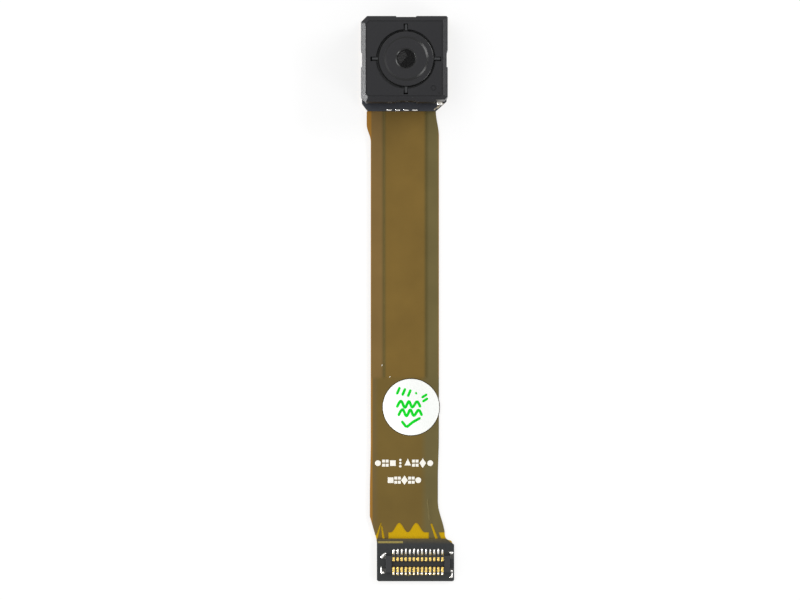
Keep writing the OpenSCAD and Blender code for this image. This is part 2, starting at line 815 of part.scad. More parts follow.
// The groove that follows the bevel's inner edge all round, behind a narrow ridge
ridge_w = 0.03;
module face_groove() {
    outer = cover_bevel + ridge_w;
    translate([0, 0, z_face - groove[1]])
        linear_extrude(1)
            difference() {
                polygon(plain_outline(outer));
                polygon(plain_outline(outer + groove[0]));
            }
}

module actuator_cover() {
    color([0.21, 0.22, 0.23])
        difference() {
            cover_prism(0, z_rim, z_face);
            cover_prism(cover_wall, z_rim - 1, z_cover_in);
            translate([opening_at[0], opening_at[1], z_rim])
                cylinder(r = opening_r, h = cover_h + 1);
            for (k = [0:3])
                translate([opening_at[0], opening_at[1], 0])
                    rotate([0, 0, 90 * k])
                        slab([slot_r / 2, 0], [slot_r, slot_w], z_cover_in - 0.1, z_face + 1);
            for (k = [0:3])
                bevel_cut(90 * k, (k % 2 == 0 ? cover_w : cover_d) / 2);
            bevel_cut(135, corner_reach(corner_left_top));
            bevel_cut(225, corner_reach(corner_left_bottom));
            bevel_cut(45, corner_reach(corner_right_top));
            bevel_cut(315, corner_reach(corner_right_bottom + front_notch[1]));
            for (side = [-1, 1])
                slab([terminal_x, side_y(side)], [terminal_w + 2 * fit, 4 * cover_wall],
                     z_rim - 1, z_rim + terminal_t + fit);
            face_marks();
            face_groove();
        }
}

// ---------- lens group ----------

module lens_carrier() {
    color([0.09, 0.09, 0.10])
        difference() {
            union() {
                ring(tube_r, 0, z_carrier, z_up_spring);
                ring(carrier_flange_r, 0, z_up_spring - carrier_flange_t, z_up_spring);
                ring(coil_r - coil_lip_in, 0, z_up_spring - carrier_flange_t - coil_h - coil_lip_t,
                     z_up_spring - carrier_flange_t - coil_h);
                ring(flange_r, 0, z_up_spring, z_crown);
                for (k = [0:3])
                    rotate([0, 0, 90 * k]) {
                        slab([rib_r / 2, 0], [rib_r, rib_w], z_rib, z_face - rib_gap);
                        slab([rib_r / 2, 0], [rib_r, rib_foot_w], z_rib, z_rib + rib_foot_t);
                    }
            }
            translate([0, 0, z_carrier - 1])
                cylinder(r = bore_r, h = z_face - z_carrier + 1);
            translate([0, 0, z_crown])
                cylinder(r = rib_inner_r, h = cover_h);
        }
}

module coil() {
    color([0.72, 0.38, 0.20])
        ring(coil_r, coil_in_r, z_up_spring - carrier_flange_t - coil_h,
             z_up_spring - carrier_flange_t);
}

// The barrel is turned: its outside, then a bore that widens in a step for each element
bore_rs = [for (r = lens_rs) r + fine_fit];
function bore_steps() = [
    for (i = [0:lens_count - 1])
        for (p = [[bore_rs[i], lens_tops[i]],
                  [bore_rs[i], i + 1 < lens_count ? lens_tops[i + 1] : z_barrel]])
            p
];
edge_break = 0.04;
neck_depth = 0.06;
module lens_barrel() {
    neck_r = barrel_r - neck_depth;
    color([0.14, 0.14, 0.15])
        rotate_extrude()
            polygon(concat(
                [[aperture_r, z_stop_face], [aperture_r, z_boss - aperture_bevel[1]],
                 [aperture_r + aperture_bevel[0], z_boss], [boss_r, z_boss],
                 [boss_r + boss_flank, z_flange],
                 [flange_r - flange_chamfer[0], z_flange], [flange_r, z_flange - flange_chamfer[1]],
                 [flange_r, z_flange_back], [neck_r, z_flange_back], [neck_r, z_crown],
                 [barrel_r, z_crown - neck_depth], [barrel_r, z_barrel + 2 * edge_break],
                 [barrel_r - 2 * edge_break, z_barrel], [bore_rs[lens_count - 1], z_barrel]],
                [for (i = [len(bore_steps()) - 2:-1:0]) bore_steps()[i]]
            ));
}

// A moulded element: two curved faces inside a flat edge
curve_n = 10;
function face_curve(z, bulge, r) =
    [for (i = [0:curve_n]) let (t = i / curve_n) [r * t, z + bulge * (1 - t * t) * (1 - 0.3 * t * t)]];
module lens_element(i) {
    r = lens_rs[i];
    z_top = lens_tops[i];
    z_low = z_top - lens_ts[i];
    front_r = i == 0 ? aperture_r - 0.06 : r - edge_land_w;
    front = face_curve(z_top, dome_h * front_domes[i], front_r);
    back = face_curve(z_low, -dome_h * back_domes[i], r - edge_land_w);
    rotate_extrude()
        polygon(concat(
            front, [[r, z_top], [r, z_low]],
            [for (k = [curve_n:-1:0]) back[k]]
        ));
}

module lens_front() {
    color([0.45, 0.55, 0.60, 0.5]) lens_element(0);
}

module lens_second() {
    color([0.45, 0.55, 0.60, 0.5]) lens_element(1);
}

module lens_third() {
    color([0.45, 0.55, 0.60, 0.5]) lens_element(2);
}

module lens_rear() {
    color([0.45, 0.55, 0.60, 0.5]) lens_element(3);
}

// Black rings between the elements that stop stray light
module light_stops() {
    color([0.05, 0.05, 0.05])
        for (i = [0:lens_count - 2])
            ring(lens_rs[i], lens_rs[i] - edge_land_w + fine_fit,
                 lens_tops[i] - lens_ts[i] - stop_t, lens_tops[i] - lens_ts[i]);
}

module retaining_ring() {
    color([0.12, 0.12, 0.12])
        ring(lens_rs[lens_count - 1], lens_rs[lens_count - 1] - edge_land_w + fine_fit,
             z_retainer, z_last);
}

// ---------- plug ----------

plug_z = z_plug_board_top;
slit_y = plug_d / 2 - slit_wall;
rim_step = [0.04, 0.2];   // width and depth of the step along the housing's long upper edges
function contact_x(i) = (i - (contacts - 1) / 2) * contact_pitch;

module plug_housing() {
    trough = [contact_span + contact_w + 0.2, plug_d - 2 * plug_wall];
    color([0.11, 0.11, 0.12])
        translate([plug_at[0], plug_at[1], plug_z])
            difference() {
                slab([0, 0], [plug_w, plug_d], 0, plug_h);
                slab([0, 0], trough, plug_floor, plug_h + 1);
                for (side = [-1, 1]) {
                    slab([0, side * plug_d / 2],
                         [contact_span + contact_w + 0.1, 2 * rim_step[0]],
                         plug_h - rim_step[1], plug_h + 1);
                    for (i = [0:contacts - 1])
                        translate([contact_x(i), side * (slit_y - contact_t / 2), 0])
                            slab([0, 0], [contact_w, contact_t], -1, plug_h + 1);
                    for (i = [0:contacts - 1])
                        slab([contact_x(i), side * (slit_y + 0.5)], [contact_w, 1.0 + contact_t],
                             -1, contact_t);
                }
            }
}

// A contact: over the wall's top, down inside the trough, and out at the foot as a tail
module contact(side) {
    wall_in = plug_d / 2 - plug_wall;
    tail_end = plug_d / 2 + tail_len;
    translate([0, side * wall_in - side * contact_t / 2, 0])
        slab([0, 0], [contact_w, contact_t], plug_floor, plug_h + contact_t);
    slab([0, side * (wall_in + slit_y) / 2], [contact_w, slit_y - wall_in], plug_h,
         plug_h + contact_t);
    slab([0, side * (slit_y - contact_t / 2)], [contact_w, contact_t], 0, plug_h);
    slab([0, side * (slit_y + tail_end) / 2], [contact_w, tail_end - slit_y], 0, contact_t);
}

module contact_row(side) {
    color([0.88, 0.74, 0.38])
        for (i = [0:contacts - 1])
            translate([plug_at[0] + contact_x(i), plug_at[1], plug_z])
                contact(side);
}

module upper_contacts() {
    contact_row(1);
}

module lower_contacts() {
    contact_row(-1);
}

// A bent tab at each corner of the housing: an upright leaf with a solder foot
tab_t = 0.08;
tab_h = 0.42;
tab_out = 0.1;
module hold_downs() {
    color([0.85, 0.85, 0.82])
        translate([plug_at[0], plug_at[1], plug_z])
            for (end = [-1, 1])
                for (side = [-1, 1]) {
                    y = side * (plug_d / 2 + tab_out - foot_size[1] / 2);
                    slab([end * (plug_w / 2 + tab_t / 2), y], [tab_t, foot_size[1]], 0, tab_h);
                    slab([end * (plug_w / 2 + tab_t + foot_size[0] / 2), y], foot_size, 0, tab_t);
                }
}

module inspection_label() {
    color([0.96, 0.97, 0.97])
        translate([label_at[0], label_at[1], z_board])
            cylinder(d = label_d, h = label_t);
}

back_stiffener();
plug_stiffener();
base_film();
cover_film();
sensor_board();
plug_board();
image_sensor();
bonding_wires();
focus_driver_chip();
capacitors();
soldering_lands();
filter_holder();
infrared_filter();
actuator_base();
lower_springs();
corner_magnets();
upper_spring();
spacer_frame();
actuator_cover();
coil_terminals();
terminal_solder();
lens_carrier();
coil();
lens_barrel();
lens_front();
lens_second();
lens_third();
lens_rear();
light_stops();
retaining_ring();
plug_housing();
upper_contacts();
lower_contacts();
hold_downs();
inspection_label();
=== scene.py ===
"""Looks of an autofocus camera module on its flexible printed circuit.

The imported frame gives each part's place and size. Each sub-assembly is a class that dresses its
own CAD nodes and builds the small pieces that sit on them: solder, ink, formed contacts, a label.
"""

import logging
import math
import random
from collections.abc import Callable, Sequence
from dataclasses import dataclass, field
from enum import Enum
from functools import cache

import bmesh
import bpy
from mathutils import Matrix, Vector


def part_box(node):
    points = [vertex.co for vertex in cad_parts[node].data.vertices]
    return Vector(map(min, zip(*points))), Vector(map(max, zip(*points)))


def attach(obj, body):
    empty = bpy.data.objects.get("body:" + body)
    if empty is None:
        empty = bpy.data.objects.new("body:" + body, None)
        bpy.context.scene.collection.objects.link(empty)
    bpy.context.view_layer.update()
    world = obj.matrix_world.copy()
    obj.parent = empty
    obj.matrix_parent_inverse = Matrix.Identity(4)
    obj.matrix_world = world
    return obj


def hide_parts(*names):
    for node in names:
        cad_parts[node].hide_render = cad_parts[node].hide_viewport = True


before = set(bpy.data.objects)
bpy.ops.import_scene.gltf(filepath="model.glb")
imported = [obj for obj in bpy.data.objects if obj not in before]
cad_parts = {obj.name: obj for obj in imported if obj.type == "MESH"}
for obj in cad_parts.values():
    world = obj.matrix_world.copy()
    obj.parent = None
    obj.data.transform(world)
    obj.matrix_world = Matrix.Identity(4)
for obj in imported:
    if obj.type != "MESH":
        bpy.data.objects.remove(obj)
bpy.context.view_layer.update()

LOG = logging.getLogger("camera_module")
MM = 0.001
FIXED = "module"
# Most values of a noise texture lie between these two.
NOISE_LOW, NOISE_HIGH = 0.3, 0.7
# A wave texture multiplies the place by this before it takes the sine.
WAVE_PHASE = 20

Point = tuple[float, float]
Place = tuple[float, float, float]
Tree = bpy.types.NodeTree
Node = bpy.types.Node
Socket = bpy.types.NodeSocket
Object = bpy.types.Object
BMesh = bmesh.types.BMesh


# ---------- colours and nodes ----------


def linear(colour: str) -> tuple[float, float, float, float]:
    """Turn an sRGB hex colour into Blender's linear RGBA.

    Args:
        colour: Six hex digits after a hash sign.

    Returns:
        Linear red, green and blue, with an alpha of 1.
    """
    levels = [int(colour[i : i + 2], 16) / 255 for i in (1, 3, 5)]
    red, green, blue = [v / 12.92 if v <= 0.04045 else ((v + 0.055) / 1.055) ** 2.4 for v in levels]
    return red, green, blue, 1.0


def add_node(
    tree: Tree,
    kind: str,
    settings: dict[str, object] | None = None,
    inputs: dict[str | int, object] | None = None,
    stops: Sequence[tuple[float, str]] = (),
) -> Node:
    """Add a node, set its properties and fill or link its sockets.

    Args:
        tree: The material's or the world's node tree.
        kind: The node's Blender type.
        settings: Property values by name.
        inputs: A value or another node's output for each named or numbered socket.
        stops: Positions and hex colours, for a colour ramp.

    Returns:
        The new node.
    """
    node = tree.nodes.new(kind)
    for name, value in (settings or {}).items():
        setattr(node, name, value)
    for name, value in (inputs or {}).items():
        if isinstance(value, Socket):
            tree.links.new(value, node.inputs[name])
        else:
            node.inputs[name].default_value = value
    for i, (position, colour) in enumerate(stops):
        elements = node.color_ramp.elements
        stop = elements[i] if i < 2 else elements.new(position)
        stop.position = position
        stop.color = linear(colour)
    return node


def per_metre(size_mm: float) -> float:
    """Give the texture scale at which one feature of a pattern is that many millimetres."""
    return 1 / (size_mm * MM)


def wave_scale(size_mm: float) -> float:
    """Give the wave texture's scale at which one band is that many millimetres."""
    return 2 * math.pi / WAVE_PHASE * per_metre(size_mm)


def about(middle: Vector, points: Sequence[Point]) -> list[Point]:
    """Turn places in millimetres from a middle into metres in the part's frame."""
    return [(middle.x + x * MM, middle.y + y * MM) for x, y in points]


def metres(size_mm: Sequence[float]) -> tuple[float, ...]:
    """Turn a size in millimetres into metres."""
    return tuple(v * MM for v in size_mm)


# ---------- finishes ----------


@dataclass(frozen=True)
class Finish:
    """A surface: what it is made of and how it was made.

    Attributes:
        name: The material's common name.
        colour: Its base colour.
        roughness: From mirror, 0, to chalk, 1.
        metallic: 1 for bare metal.
        specular: Strength of the gloss of a surface that isn't metal.
        grain_mm: Size of the surface's grain.
        mottle: Share by which the colour varies with the grain.
        relief_mm: Depth of the grain.
    """

    name: str
    colour: str
    roughness: float
    metallic: float = 0.0
    specular: float = 0.5
    grain_mm: float = 0.12
    mottle: float = 0.12
    relief_mm: float = 0.002

    @cache
    def material(self) -> bpy.types.Material:
        """Return this finish's material, built the first time that it is asked for."""
        made = bpy.data.materials.new(self.name)
        made.use_nodes = True
        tree = made.node_tree
        shader = tree.nodes["Principled BSDF"]
        shader.inputs["Metallic"].default_value = self.metallic
        shader.inputs["Roughness"].default_value = self.roughness
        shader.inputs["Specular IOR Level"].default_value = self.specular
        where = add_node(tree, "ShaderNodeTexCoord").outputs["Object"]
        self.paint(tree, shader, where)
        return made

    def paint(self, tree: Tree, shader: Node, where: Socket) -> None:
        """Give the shader its colour and relief.

        Args:
            tree: The material's nodes.
            shader: The surface shader.
            where: Place on the part, in metres.
        """
        grain = self.grain(tree, where)
        self.colour_by(tree, shader, grain, self.colour)
        self.emboss(tree, shader, grain)

    def grain(self, tree: Tree, where: Socket) -> Socket:
        """Add the surface's own fine grain and return its height."""
        noise = add_node(
            tree,
            "ShaderNodeTexNoise",
            inputs={"Vector": where, "Scale": per_metre(self.grain_mm), "Detail": 4.0},
        )
        return noise.outputs["Fac"]

    def colour_by(self, tree: Tree, shader: Node, amount: Socket, base: str | Socket) -> None:
        """Vary a base colour lighter and darker with a pattern.

        Args:
            tree: The material's nodes.
            shader: The surface shader.
            amount: The pattern, from 0 to 1.
            base: A hex colour or a colour output.
        """
        value = add_node(
            tree,
            "ShaderNodeMapRange",
            inputs={
                "Value": amount,
                "From Min": NOISE_LOW,
                "From Max": NOISE_HIGH,
                "To Min": 1 - self.mottle,
                "To Max": 1 + self.mottle,
            },
        )
        shade = add_node(
            tree,
            "ShaderNodeHueSaturation",
            inputs={
                "Value": value.outputs["Result"],
                "Color": linear(base) if isinstance(base, str) else base,
            },
        )
        tree.links.new(shade.outputs["Color"], shader.inputs["Base Color"])

    def two_tone(
        self,
        tree: Tree,
        shader: Node,
        where: Socket,
        value: Socket,
        ends: tuple[float, float],
        colours: tuple[str, str],
    ) -> Socket:
        """Fade from one colour to another as a value grows, over the surface's own grain.

        Args:
            tree: The material's nodes.
            shader: The surface shader.
            where: Place on the part, in metres.
            value: What the fade follows.
            ends: The values where it is all the first colour, and all the second.
            colours: The two hex colours.

        Returns:
            The share of the second colour.
        """
        share = add_node(
            tree,
            "ShaderNodeMapRange",
            inputs={"Value": value, "From Min": ends[0], "From Max": ends[1]},
        ).outputs["Result"]
        both = add_node(
            tree,
            "ShaderNodeMix",
            {"data_type": "RGBA"},
            {"Factor": share, 6: linear(colours[0]), 7: linear(colours[1])},
        )
        grain = self.grain(tree, where)
        self.colour_by(tree, shader, grain, both.outputs[2])
        self.emboss(tree, shader, grain)
        return share

    def emboss(
        self,
        tree: Tree,
        shader: Node,
        height: Socket,
        under: Socket | None = None,
        depth_mm: float | None = None,
    ) -> Socket:
        """Raise the surface by a pattern of the relief's depth.

        Args:
            tree: The material's nodes.
            shader: The surface shader.
            height: The pattern, from 0 to 1.
            under: The normal of a pattern below this one.
            depth_mm: Depth of this pattern, where it isn't the grain's.

        Returns:
            The raised surface's normal.
        """
        depth = self.relief_mm if depth_mm is None else depth_mm
        links = {"Height": height, "Distance": depth * MM}
        if under is not None:
            links["Normal"] = under
        bump = add_node(tree, "ShaderNodeBump", inputs=links)
        tree.links.new(bump.outputs["Normal"], shader.inputs["Normal"])
        return bump.outputs["Normal"]


@dataclass(frozen=True)
class BrushedMetal(Finish):
    """Rolled or brushed sheet: fine scratches that run one way.

    Attributes:
        run: Stretch of the scratches along each axis.
    """

    run: Place = (1.0, 0.04, 1.0)

    def grain(self, tree: Tree, where: Socket) -> Socket:
        """Add scratches that are long one way and fine the other."""
        drawn = add_node(tree, "ShaderNodeMapping", inputs={"Vector": where, "Scale": self.run})
        return super().grain(tree, drawn.outputs["Vector"])


@dataclass(frozen=True)
class TiltShadedBlack(Finish):
    """A black surface whose steep faces are painted darker than its level faces, as painted shade.

    Attributes:
        flank: Colour of the steep faces, darker than the level faces as painted shade.
        flank_gloss: Strength of the steep faces' gloss.
        steep: Height of a face's normal below which it is all flank.
        level: Height of a face's normal above which it takes all the level faces' colour.
    """

    flank: str = "#050506"
    flank_gloss: float = 0.24
    steep: float = 0.9
    level: float = 0.99

    def paint(self, tree: Tree, shader: Node, where: Socket) -> None:
        """Paint steep faces darker than level ones by the way the face tilts, as painted shade, and mix
        their gloss the same way.
        """
        normal = add_node(tree, "ShaderNodeNewGeometry").outputs["True Normal"]
        up = add_node(tree, "ShaderNodeSeparateXYZ", inputs={"Vector": normal}).outputs["Z"]
        # Steep faces take the dark flank colour: painted shade by tilt.
        ends, colours = (self.steep, self.level), (self.flank, self.colour)
        level = self.two_tone(tree, shader, where, up, ends, colours)
        gloss = add_node(
            tree,
            "ShaderNodeMapRange",
            inputs={"Value": level, "To Min": self.flank_gloss, "To Max": self.specular},
        )
        tree.links.new(gloss.outputs["Result"], shader.inputs["Specular IOR Level"])


@dataclass(frozen=True)
class Glass(Finish):
    """Clear moulded glass or resin with an anti-reflection coating.

    Attributes:
        film_nm: Thickness of the coating, which tints what it reflects.
        index: Refractive index, lower where a coating takes the glare away.
    """

    film_nm: float = 0.0
    index: float = 1.53

    def paint(self, tree: Tree, shader: Node, where: Socket) -> None:
        """Let light through, with the faintest unevenness in the coating."""
        shader.inputs["Transmission Weight"].default_value = 1.0
        shader.inputs["IOR"].default_value = self.index
        shader.inputs["Thin Film Thickness"].default_value = self.film_nm
        super().paint(tree, shader, where)


@dataclass(frozen=True)
class Laminate(Finish):
    """Films laid over etched copper, banded across their width as the copper below is.

    Attributes:
        left: Left edge of the circuit, in metres.
        right: Right edge of the circuit, in metres.
        ground_end: Where along Y the copper ground plane stops, in metres.
        bands: Places across the width in millimetres from the left edge, with their colours,
            where the ground plane lies below.
        plain: The same, past the ground plane.
        cloud_mm: Size of the cloudy patches in the adhesive.
        ripple_mm: Distance between ripples over the traces, drawn coarser than the traces
            themselves, which are too fine to show.
    """

    left: float = 0.0
    right: float = 1.0
    ground_end: float = 0.0
    bands: tuple[tuple[float, str], ...] = ()
    plain: tuple[tuple[float, str], ...] = ()
    cloud_mm: float = 3.5
    ripple_mm: float = 0.44 * math.pi

    def across(self, tree: Tree, x: Socket, bands: tuple[tuple[float, str], ...]) -> Socket:
        """Colour the width by bands and return the colour."""
        share = add_node(
            tree,
            "ShaderNodeMapRange",
            inputs={"Value": x, "From Min": self.left, "From Max": self.right},
        )
        width_mm = (self.right - self.left) / MM
        ramp = add_node(
            tree,
            "ShaderNodeValToRGB",
            inputs={"Fac": share.outputs["Result"]},
            stops=[(at / width_mm, colour) for at, colour in bands],
        )
        return ramp.outputs["Color"]

    def paint(self, tree: Tree, shader: Node, where: Socket) -> None:
        """Lay the bands, the cloudy adhesive and the relief of the traces below."""
        split = add_node(tree, "ShaderNodeSeparateXYZ", inputs={"Vector": where})
        x, y = split.outputs["X"], split.outputs["Y"]
        past = add_node(
            tree,
            "ShaderNodeMapRange",
            inputs={
                "Value": y,
                "From Min": self.ground_end + 0.2 * MM,
                "From Max": self.ground_end - 0.2 * MM,
            },
        )
        field_colour = add_node(
            tree,
            "ShaderNodeMix",
            {"data_type": "RGBA"},
            {
                "Factor": past.outputs["Result"],
                6: self.across(tree, x, self.bands),
                7: self.across(tree, x, self.plain),
            },
        )
        cloud = add_node(
            tree,
            "ShaderNodeTexNoise",
            inputs={"Vector": where, "Scale": per_metre(self.cloud_mm), "Detail": 3.0},
        )
        self.colour_by(tree, shader, cloud.outputs["Fac"], field_colour.outputs[2])
        traces = add_node(
            tree,
            "ShaderNodeTexWave",
            {"bands_direction": "X", "wave_profile": "TRI"},
            {"Vector": where, "Scale": wave_scale(self.ripple_mm), "Distortion": 0.6, "Detail": 1.0},
        )
        ridges = self.emboss(tree, shader, traces.outputs["Fac"], depth_mm=self.relief_mm / 2)
        self.emboss(tree, shader, self.grain(tree, where), under=ridges)


@dataclass(frozen=True)
class PressedLaminate(Finish):
    """Lacquered laminate with a warm stain of adhesive along one edge.

    Attributes:
        edge: Where the stained edge is along Y, in metres.
        stain: Colour at the edge.
        reach_mm: Width of the stain.
    """

    edge: float = 0.0
    stain: str = "#4A4022"
    reach_mm: float = 0.55

    def paint(self, tree: Tree, shader: Node, where: Socket) -> None:
        """Fade the stain into the lacquer, over the lacquer's own grain."""
        y = add_node(tree, "ShaderNodeSeparateXYZ", inputs={"Vector": where}).outputs["Y"]
        ends = (self.edge - self.reach_mm * MM, self.edge)
        self.two_tone(tree, shader, where, y, ends, (self.colour, self.stain))


@dataclass(frozen=True)
class Wound(Finish):
    """Enamelled wire wound in close turns about the optical axis.

    Attributes:
        turn_mm: Distance between turns, drawn coarser than the real wire of 0.06 mm so that
            they show.
    """

    turn_mm: float = 0.12 * math.pi

    def grain(self, tree: Tree, where: Socket) -> Socket:
        """Add one ridge for each turn, stacked along the axis."""
        turns = add_node(
            tree,
            "ShaderNodeTexWave",
            {"bands_direction": "Z"},
            {"Vector": where, "Scale": wave_scale(self.turn_mm)},
        )
        return turns.outputs["Fac"]


# Drawn steel under black electrocoat: a satin skin, its steep walls painted darker than its level faces
# as painted shade.
COATED_STEEL = TiltShadedBlack(
    "black_electrocoated_steel",
    "#1A1A1D",
    0.34,
    specular=0.24,
    grain_mm=0.05,
    mottle=0.12,
    steep=0.2,
    level=0.6,
)
# Polycarbonate, moulded: its steep flanks glossier and painted darker than its level faces, as painted
# shade.
BARREL_RESIN = TiltShadedBlack(
    "black_moulded_polycarbonate", "#29292B", 0.27, specular=0.15, grain_mm=0.08, flank_gloss=0.36
)
# Liquid crystal polymer, moulded: a dull black with short pale fibres near the surface.
HOUSING_RESIN = Finish("black_liquid_crystal_polymer", "#15171A", 0.5, grain_mm=0.05)
# Solder resist on laminate: smooth blue-black lacquer that levels into a slight orange peel.
SOLDER_RESIST = Finish(
    "blue_black_solder_resist",
    "#20232C",
    0.34,
    specular=0.45,
    grain_mm=0.3,
    mottle=0.15,
    relief_mm=0.003,
)
# Glass-epoxy laminate for the plug's board: the same lacquer over a woven cloth.
PLUG_LAMINATE = Finish(
    "black_glass_epoxy_laminate",
    "#1E2122",
    0.36,
    specular=0.38,
    grain_mm=0.22,
    mottle=0.2,
    relief_mm=0.004,
)
# Nickel-plated brass tabs, dulled by flux: a dark grey metal.
DULLED_NICKEL = Finish("dulled_nickel_plate", "#4C4C4A", 0.5, 1.0, grain_mm=0.06, mottle=0.2)
# A dark, slightly shiny rim round the label: painted shadow along the label's edge.
LABEL_EDGE_SHADOW = Finish("label_edge_painted_shadow", "#34280F", 0.5, specular=0.1, grain_mm=0.1, mottle=0.3)
# Cast polyimide film: amber yellow, glossy, with the dimples of the copper etched away below.
POLYIMIDE = Finish(
    "yellow_polyimide_film", "#C7A006", 0.35, specular=0.1, grain_mm=0.1, mottle=0.12, relief_mm=0.004
)
# Stainless steel sheet, rolled: grey metal with fine lines along the roll.
STIFFENER_STEEL = BrushedMetal(
    "rolled_stainless_steel", "#A9A8A4", 0.38, 1.0, grain_mm=0.04, mottle=0.1, relief_mm=0.001
)
# Hard gold over nickel: warm, bright metal with a slightly uneven plated skin.
GOLD = Finish("gold_plating", "#EBC970", 0.28, 1.0, grain_mm=0.08, mottle=0.1)
# Reflowed tin solder: white metal that froze with a soft, faintly wrinkled skin.
SOLDER = Finish("reflowed_tin_solder", "#DEDCD8", 0.22, 1.0, grain_mm=0.1, mottle=0.12)
# Tinned copper alloy: duller than solder, with the marks of the press.
TINNED = BrushedMetal("tinned_copper_alloy", "#CFCBC2", 0.3, 1.0, grain_mm=0.05)
# Beryllium copper leaf, etched: a springy yellow-brown metal.
SPRING = BrushedMetal("etched_beryllium_copper", "#B98F4E", 0.3, 1.0, grain_mm=0.04)
# Nickel-plated neodymium: bright grey with a fine sintered grain.
MAGNET = Finish("nickel_plated_neodymium", "#9A9A9C", 0.32, 1.0, grain_mm=0.06)
# Polyester label, matt coated: a cool white that scatters evenly.
LABEL_STOCK = Finish("matt_polyester_label", "#F4F6F3", 0.6, specular=0.25, grain_mm=0.09, mottle=0.012)
# Felt-pen ink: a clear green, denser where the pen slowed.
MARKER_INK = Finish("green_marker_ink", "#00CE24", 0.45, specular=0.1, grain_mm=0.5, mottle=0.12)
# Screen-printed epoxy legend ink: chalky white with slightly ragged edges.
LEGEND_INK = Finish("white_legend_ink", "#F1EEE4", 0.6, specular=0.3, grain_mm=0.12, mottle=0.05)
# Dried flux: a pale brown crust of beads and flakes.
FLUX = Finish("dried_flux", "#A39A86", 0.4, grain_mm=0.07, mottle=0.45, relief_mm=0.02)
# Pressed-out bonding adhesive, cured: tan, waxy.
ADHESIVE = Finish("cured_bonding_adhesive", "#8A7B38", 0.45, grain_mm=0.12, mottle=0.15)
# Lint: a dull white fibre or flake.
LINT = Finish("lint", "#D8D4C6", 0.8, specular=0.1, grain_mm=0.05)
# Silicon under colour filters: a dark glossy teal.
SILICON = Finish("image_sensor_silicon", "#16282C", 0.18, grain_mm=0.03, mottle=0.2)
# Epoxy chip coat: dull black.
CHIP_RESIN = Finish("chip_moulding_epoxy", "#151517", 0.6, grain_mm=0.05)
# Barium titanate capacitor body: a matt tan ceramic.
CERAMIC = Finish("barium_titanate_ceramic", "#8C6D4E", 0.55, grain_mm=0.05)
# Infrared filter: clear glass whose coating reflects a faint cyan.
FILTER_GLASS = Glass(
    "infrared_filter_glass", "#CFE8EA", 0.02, mottle=0.01, relief_mm=0.0, film_nm=380.0
)
# Lens resin with an anti-reflection coating: clear, with little glare left.
LENS_RESIN = Glass(
    "coated_lens_resin", "#3C3D40", 0.03, specular=0.2, mottle=0.01, relief_mm=0.0, index=1.25
)
# Blackened polyester film between the elements: almost no shine.
STOP_FILM = Finish("blackened_stop_film", "#060606", 0.8, specular=0.1)
# Enamelled copper wire, wound and bonded: glossy turns of red-brown.
WINDING = Wound("enamelled_copper_winding", "#9B4A22", 0.3, 0.8, relief_mm=0.02)


# ---------- meshes ----------


def piece(name: str, mesh: BMesh, finish: Finish, body: str, smooth: bool = True) -> Object:
    """Turn a built mesh into a dressed piece that rides on a body.

    Args:
        name: The piece's name.
        mesh: The mesh, in metres in the part's frame. It is freed.
        finish: What the piece is made of.
        body: The CAD body that carries it.
        smooth: Whether the surface is shaded smooth up to 35 degrees.

    Returns:
        The new object.
    """
    bmesh.ops.recalc_face_normals(mesh, faces=mesh.faces)
    data = bpy.data.meshes.new(name)
    mesh.to_mesh(data)
    mesh.free()
    if smooth:
        data.shade_smooth()
        data.set_sharp_from_angle(angle=math.radians(35))
    made = bpy.data.objects.new(name, data)
    made.data.materials.append(finish.material())
    bpy.context.scene.collection.objects.link(made)
    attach(made, body)
    LOG.info("piece %s: %s, %d faces", name, finish.name, len(data.polygons))
    return made


def soften(target: Object, width_mm: float, segments: int = 2) -> None:
    """Break a piece's sharp edges, as tooling and plating do.

    Args:
        target: The piece or CAD node.
        width_mm: Width of the rounded edge.
        segments: Facets across the edge.
    """
    weld = target.modifiers.new("weld", "WELD")
    weld.merge_threshold = 0.0005 * MM
    flats = target.modifiers.new("flats", "DECIMATE")
    flats.decimate_type = "DISSOLVE"
    flats.angle_limit = math.radians(0.4)
    bevel = target.modifiers.new("edge", "BEVEL")
    bevel.width = width_mm * MM
    bevel.segments = segments
    bevel.limit_method = "ANGLE"
    bevel.angle_limit = math.radians(30)
    bevel.use_clamp_overlap = True
    normals = target.modifiers.new("normals", "WEIGHTED_NORMAL")
    normals.weight = 100
    normals.keep_sharp = True


def dress(node: str, finish: Finish, edge_mm: float = 0.0) -> None:
    """Give a CAD node its finish and, if wanted, broken edges.

    Args:
        node: The CAD node's name.
        finish: What it is made of.
        edge_mm: Width of its broken edges, or 0 to leave them.
    """
    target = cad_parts[node]
    target.material_slots[0].material = finish.material()
    if edge_mm:
        soften(target, edge_mm)
    LOG.info("node %s: %s", node, finish.name)


def smooth_path(points: Sequence[Point], steps: int = 6, closed: bool = False) -> list[Point]:
    """Run a smooth curve through points.

    Args:
        points: Points on the curve.
        steps: Stations between each two points.
        closed: Whether the curve returns to its first point.

    Returns:
        Stations along the curve.
    """
    count = len(points)
    spans = count if closed else count - 1
    stations: list[Point] = []
    for i in range(spans):
        if closed:
            p = [points[(i + k - 1) % count] for k in range(4)]
        else:
            p = [points[min(max(i + k - 1, 0), count - 1)] for k in range(4)]
        for j in range(steps):
            t = j / steps
            stations.append(
                tuple(
                    0.5
                    * (
                        2 * p[1][a]
                        + (p[2][a] - p[0][a]) * t
                        + (2 * p[0][a] - 5 * p[1][a] + 4 * p[2][a] - p[3][a]) * t * t
                        + (3 * p[1][a] - p[0][a] - 3 * p[2][a] + p[3][a]) * t**3
                    )
                    for a in (0, 1)
                )
            )
    stations.append(points[0] if closed else points[-1])
    return stations


